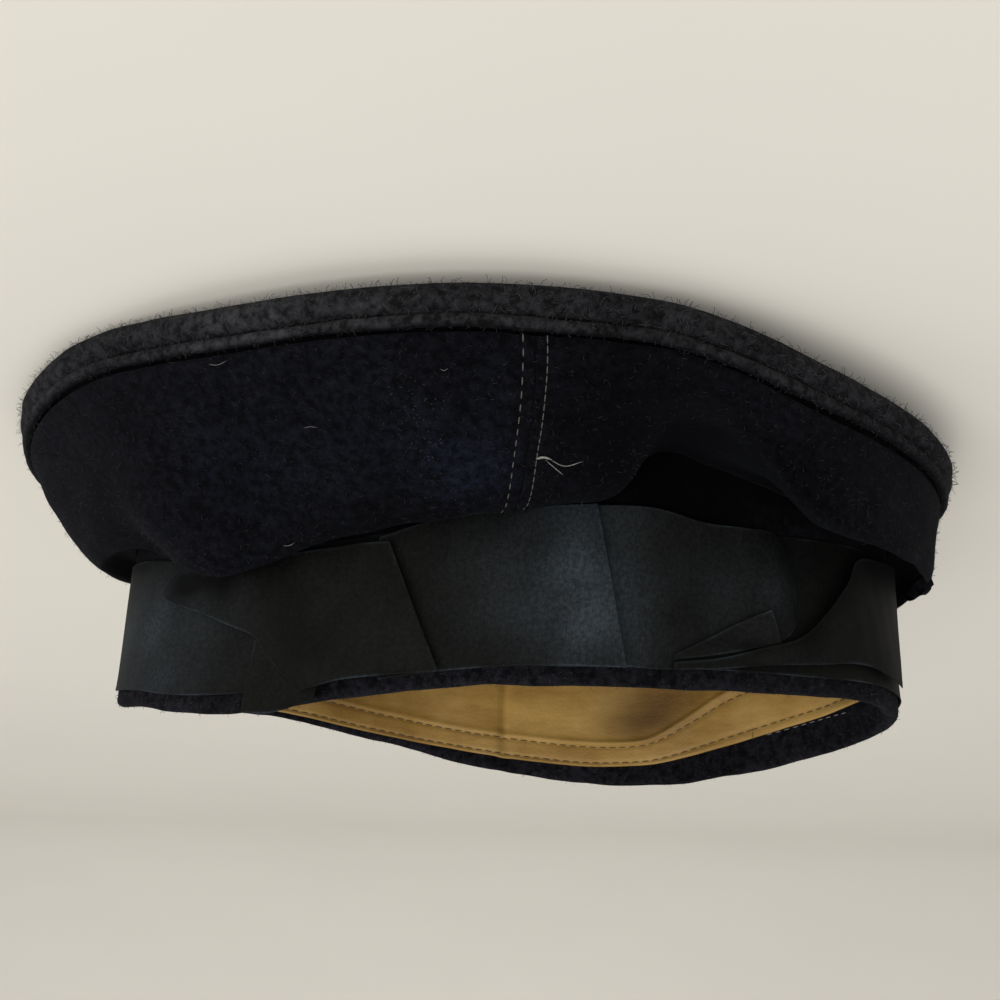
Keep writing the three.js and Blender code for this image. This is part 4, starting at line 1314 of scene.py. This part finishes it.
# %% Fibre node tree
def build_fibre_tree(density_name):
    tree = bpy.data.node_groups.new("fibres_" + density_name, "GeometryNodeTree")
    sockets = (("Per Square Metre", "NodeSocketFloat"), ("Length", "NodeSocketFloat"),
               ("Thickness", "NodeSocketFloat"), ("Lean", "NodeSocketFloat"),
               ("Seed", "NodeSocketInt"), ("Fibre", "NodeSocketMaterial"))
    given, result = tree_interface(tree, sockets)
    amount = add_node(tree, "GeometryNodeInputNamedAttribute", {"Name": density_name}, data_type="FLOAT")
    density = add_node(tree, "ShaderNodeMath", {0: amount.outputs[0], 1: given["Per Square Metre"]},
                       operation="MULTIPLY")
    scatter = add_node(tree, "GeometryNodeDistributePointsOnFaces",
                       {"Mesh": given["Geometry"], "Density": density.outputs[0], "Seed": given["Seed"]})
    bend = add_node(tree, "GeometryNodeCurveQuadraticBezier",
                    {"Resolution": 2, "Start": (0, 0, -0.08), "Middle": (0.12, 0, 0.6),
                     "End": (0.75, 0.1, 0.8)})
    round_wire = add_node(tree, "GeometryNodeCurvePrimitiveCircle",
                          {"Resolution": 3, "Radius": given["Thickness"]})
    wire = add_node(tree, "GeometryNodeCurveToMesh",
                    {"Curve": bend.outputs[0], "Profile Curve": round_wire.outputs[0], "Fill Caps": True})
    turn = add_node(tree, "FunctionNodeRandomValue", {"Seed": given["Seed"]}, data_type="FLOAT_VECTOR")
    turn.inputs[0].default_value = (-1.0, -1.0, -math.pi)
    turn.inputs[1].default_value = (1.0, 1.0, math.pi)
    leaning = add_node(tree, "ShaderNodeVectorMath", {0: turn.outputs[0]}, operation="MULTIPLY")
    lean_size = add_node(tree, "ShaderNodeCombineXYZ", {"X": given["Lean"], "Y": given["Lean"], "Z": 1.0})
    tree.links.new(lean_size.outputs[0], leaning.inputs[1])
    to_rotation = add_node(tree, "FunctionNodeEulerToRotation", {0: leaning.outputs[0]})
    rotation = add_node(tree, "FunctionNodeRotateRotation",
                        {0: scatter.outputs["Rotation"], 1: to_rotation.outputs[0]}, rotation_space="LOCAL")
    scale = add_node(tree, "FunctionNodeRandomValue", {"Seed": given["Seed"]}, data_type="FLOAT")
    scale.inputs[2].default_value = 0.35
    scale.inputs[3].default_value = 1.25
    longer = add_node(tree, "ShaderNodeMath", {0: scale.outputs[1], 1: given["Length"]}, operation="MULTIPLY")
    size = add_node(tree, "ShaderNodeCombineXYZ",
                    {"X": longer.outputs[0], "Y": longer.outputs[0], "Z": longer.outputs[0]})
    placed = add_node(tree, "GeometryNodeInstanceOnPoints",
                      {"Points": scatter.outputs["Points"], "Instance": wire.outputs[0],
                       "Rotation": rotation.outputs[0], "Scale": size.outputs[0]})
    real = add_node(tree, "GeometryNodeRealizeInstances", {"Geometry": placed.outputs[0]})
    finished = add_node(tree, "GeometryNodeSetMaterial",
                        {"Geometry": real.outputs[0], "Material": given["Fibre"]})
    tree.links.new(finished.outputs[0], result["Geometry"])
    return tree


nap_tree = build_fibre_tree("fuzz")
lint_tree = build_fibre_tree("lint")


def add_fibres(name, cloth, tree, per_square_mm, length, thickness, lean, seed, material):
    mesh = cloth.data.copy()
    piece = bake_nodes(name, mesh, tree, {"Per Square Metre": per_square_mm * 1e6, "Length": length * MM,
                                          "Thickness": thickness / length, "Lean": lean, "Seed": seed,
                                          "Fibre": material})
    finish_piece(piece, "navy_wool")
    print(name, len(piece.data.polygons), "faces")
    return piece


add_fibres("nap_crown_top", crown_top, nap_tree, 0.36, 1.6, 0.050, 0.75, 1, nap_fibre_painted_lit)
add_fibres("nap_welt", welt, nap_tree, 0.5, 0.8, 0.040, 0.8, 2, nap_fibre_painted_lit)
add_fibres("nap_under_crown_front", front_panel, nap_tree, 0.19, 0.9, 0.042, 1.15, 3, felt_fibre_painted_shade)
add_fibres("nap_under_crown_back", back_panel, nap_tree, 0.19, 0.9, 0.042, 1.15, 4, felt_fibre_painted_shade)
add_fibres("nap_head_band", head_band, nap_tree, 0.26, 0.7, 0.040, 0.9, 5, nap_fibre_painted_lit)
add_fibres("lint_under_crown_front", front_panel, lint_tree, 0.8, 0.5, 0.022, 1.35, 6, pale_hair)


# %% Loose threads
def wool_line(stops, rise):
    """A smooth line over the under-crown through (angle, share) stops, a little above the cloth."""
    count = 12 * (len(stops) - 1)
    stops = np.array([(*stop, 0.0) for stop in stops])[:, None, :]
    path = soft_curve(stops, np.linspace(0, 1, count))
    angle, share = path[:, 0], path[:, 1]
    points = soft_curve(np.stack(under_crown_stations(angle)), share)
    beside = soft_curve(np.stack(under_crown_stations(angle)), share + 0.01)
    ahead = soft_curve(np.stack(under_crown_stations(angle + 0.2)), share)
    normal = np.cross(ahead - points, beside - points)
    normal /= np.linalg.norm(normal, axis=1, keepdims=True)
    bow = np.sin(np.linspace(0, math.pi, count))[:, None]
    return points + normal * (THREAD_CLEARANCE + rise * bow)


def thread_tube(name, path, radius, material, slot):
    """A round thread with pointed ends along a path of points."""
    sides = 6
    ahead = np.gradient(path, axis=0)
    ahead /= np.linalg.norm(ahead, axis=1, keepdims=True)
    across = np.cross(ahead, np.array([0.3, 0.2, 1.0]))
    across /= np.linalg.norm(across, axis=1, keepdims=True)
    other = np.cross(ahead, across)
    turn = np.arange(sides) * 2 * math.pi / sides
    taper = np.minimum(1.0, np.linspace(0.15, 4, len(path)))
    taper = (radius * np.minimum(taper, taper[::-1]))[:, None, None]
    rings = path[:, None, :] + taper * (across[:, None, :] * np.cos(turn)[None, :, None]
                                        + other[:, None, :] * np.sin(turn)[None, :, None])
    faces = grid_faces(len(path), sides, False, True)[:, ::-1].tolist()
    last = (len(path) - 1) * sides
    faces += [list(range(sides)), [last + k for k in reversed(range(sides))]]
    piece = new_object(name, rings.reshape(-1, 3), faces, grid_lengths(rings).reshape(-1, 2), material)
    work = bmesh.new()
    work.from_mesh(piece.data)
    bmesh.ops.recalc_face_normals(work, faces=work.faces)
    work.to_mesh(piece.data)
    work.free()
    finish_piece(piece, slot)
    return piece


THREAD_CLEARANCE = 0.75
LOOSE_THREADS = (
    ("loose_thread_1", ((263.0, 0.297), (262.2, 0.292), (261.3, 0.300)), 0.30, 0.2),
    ("loose_thread_2", ((261.6, 0.298), (260.0, 0.318), (257.9, 0.309)), 0.10, 0.3),
    ("loose_thread_3", ((262.0, 0.300), (260.9, 0.325), (260.2, 0.344)), 0.10, 0.3),
    ("lint_hair_1", ((295.6, 0.010), (294.4, 0.013), (293.2, 0.008)), 0.07, 0.5),
    ("lint_hair_2", ((287.1, 0.172), (286.3, 0.170), (285.5, 0.175)), 0.06, 0.2),
    ("lint_hair_3", ((295.4, 0.436), (294.6, 0.441), (293.8, 0.440)), 0.08, 0.2),
    ("lint_hair_4", ((271.5, 0.072), (271.1, 0.075), (270.7, 0.071)), 0.06, 0.2),
)
for name, stops, radius, rise in LOOSE_THREADS:
    thread_tube(name, wool_line(stops, rise), radius, grey_lint if radius >= 0.1 else pale_hair, "navy_wool")
print("loose threads made:", len(LOOSE_THREADS))
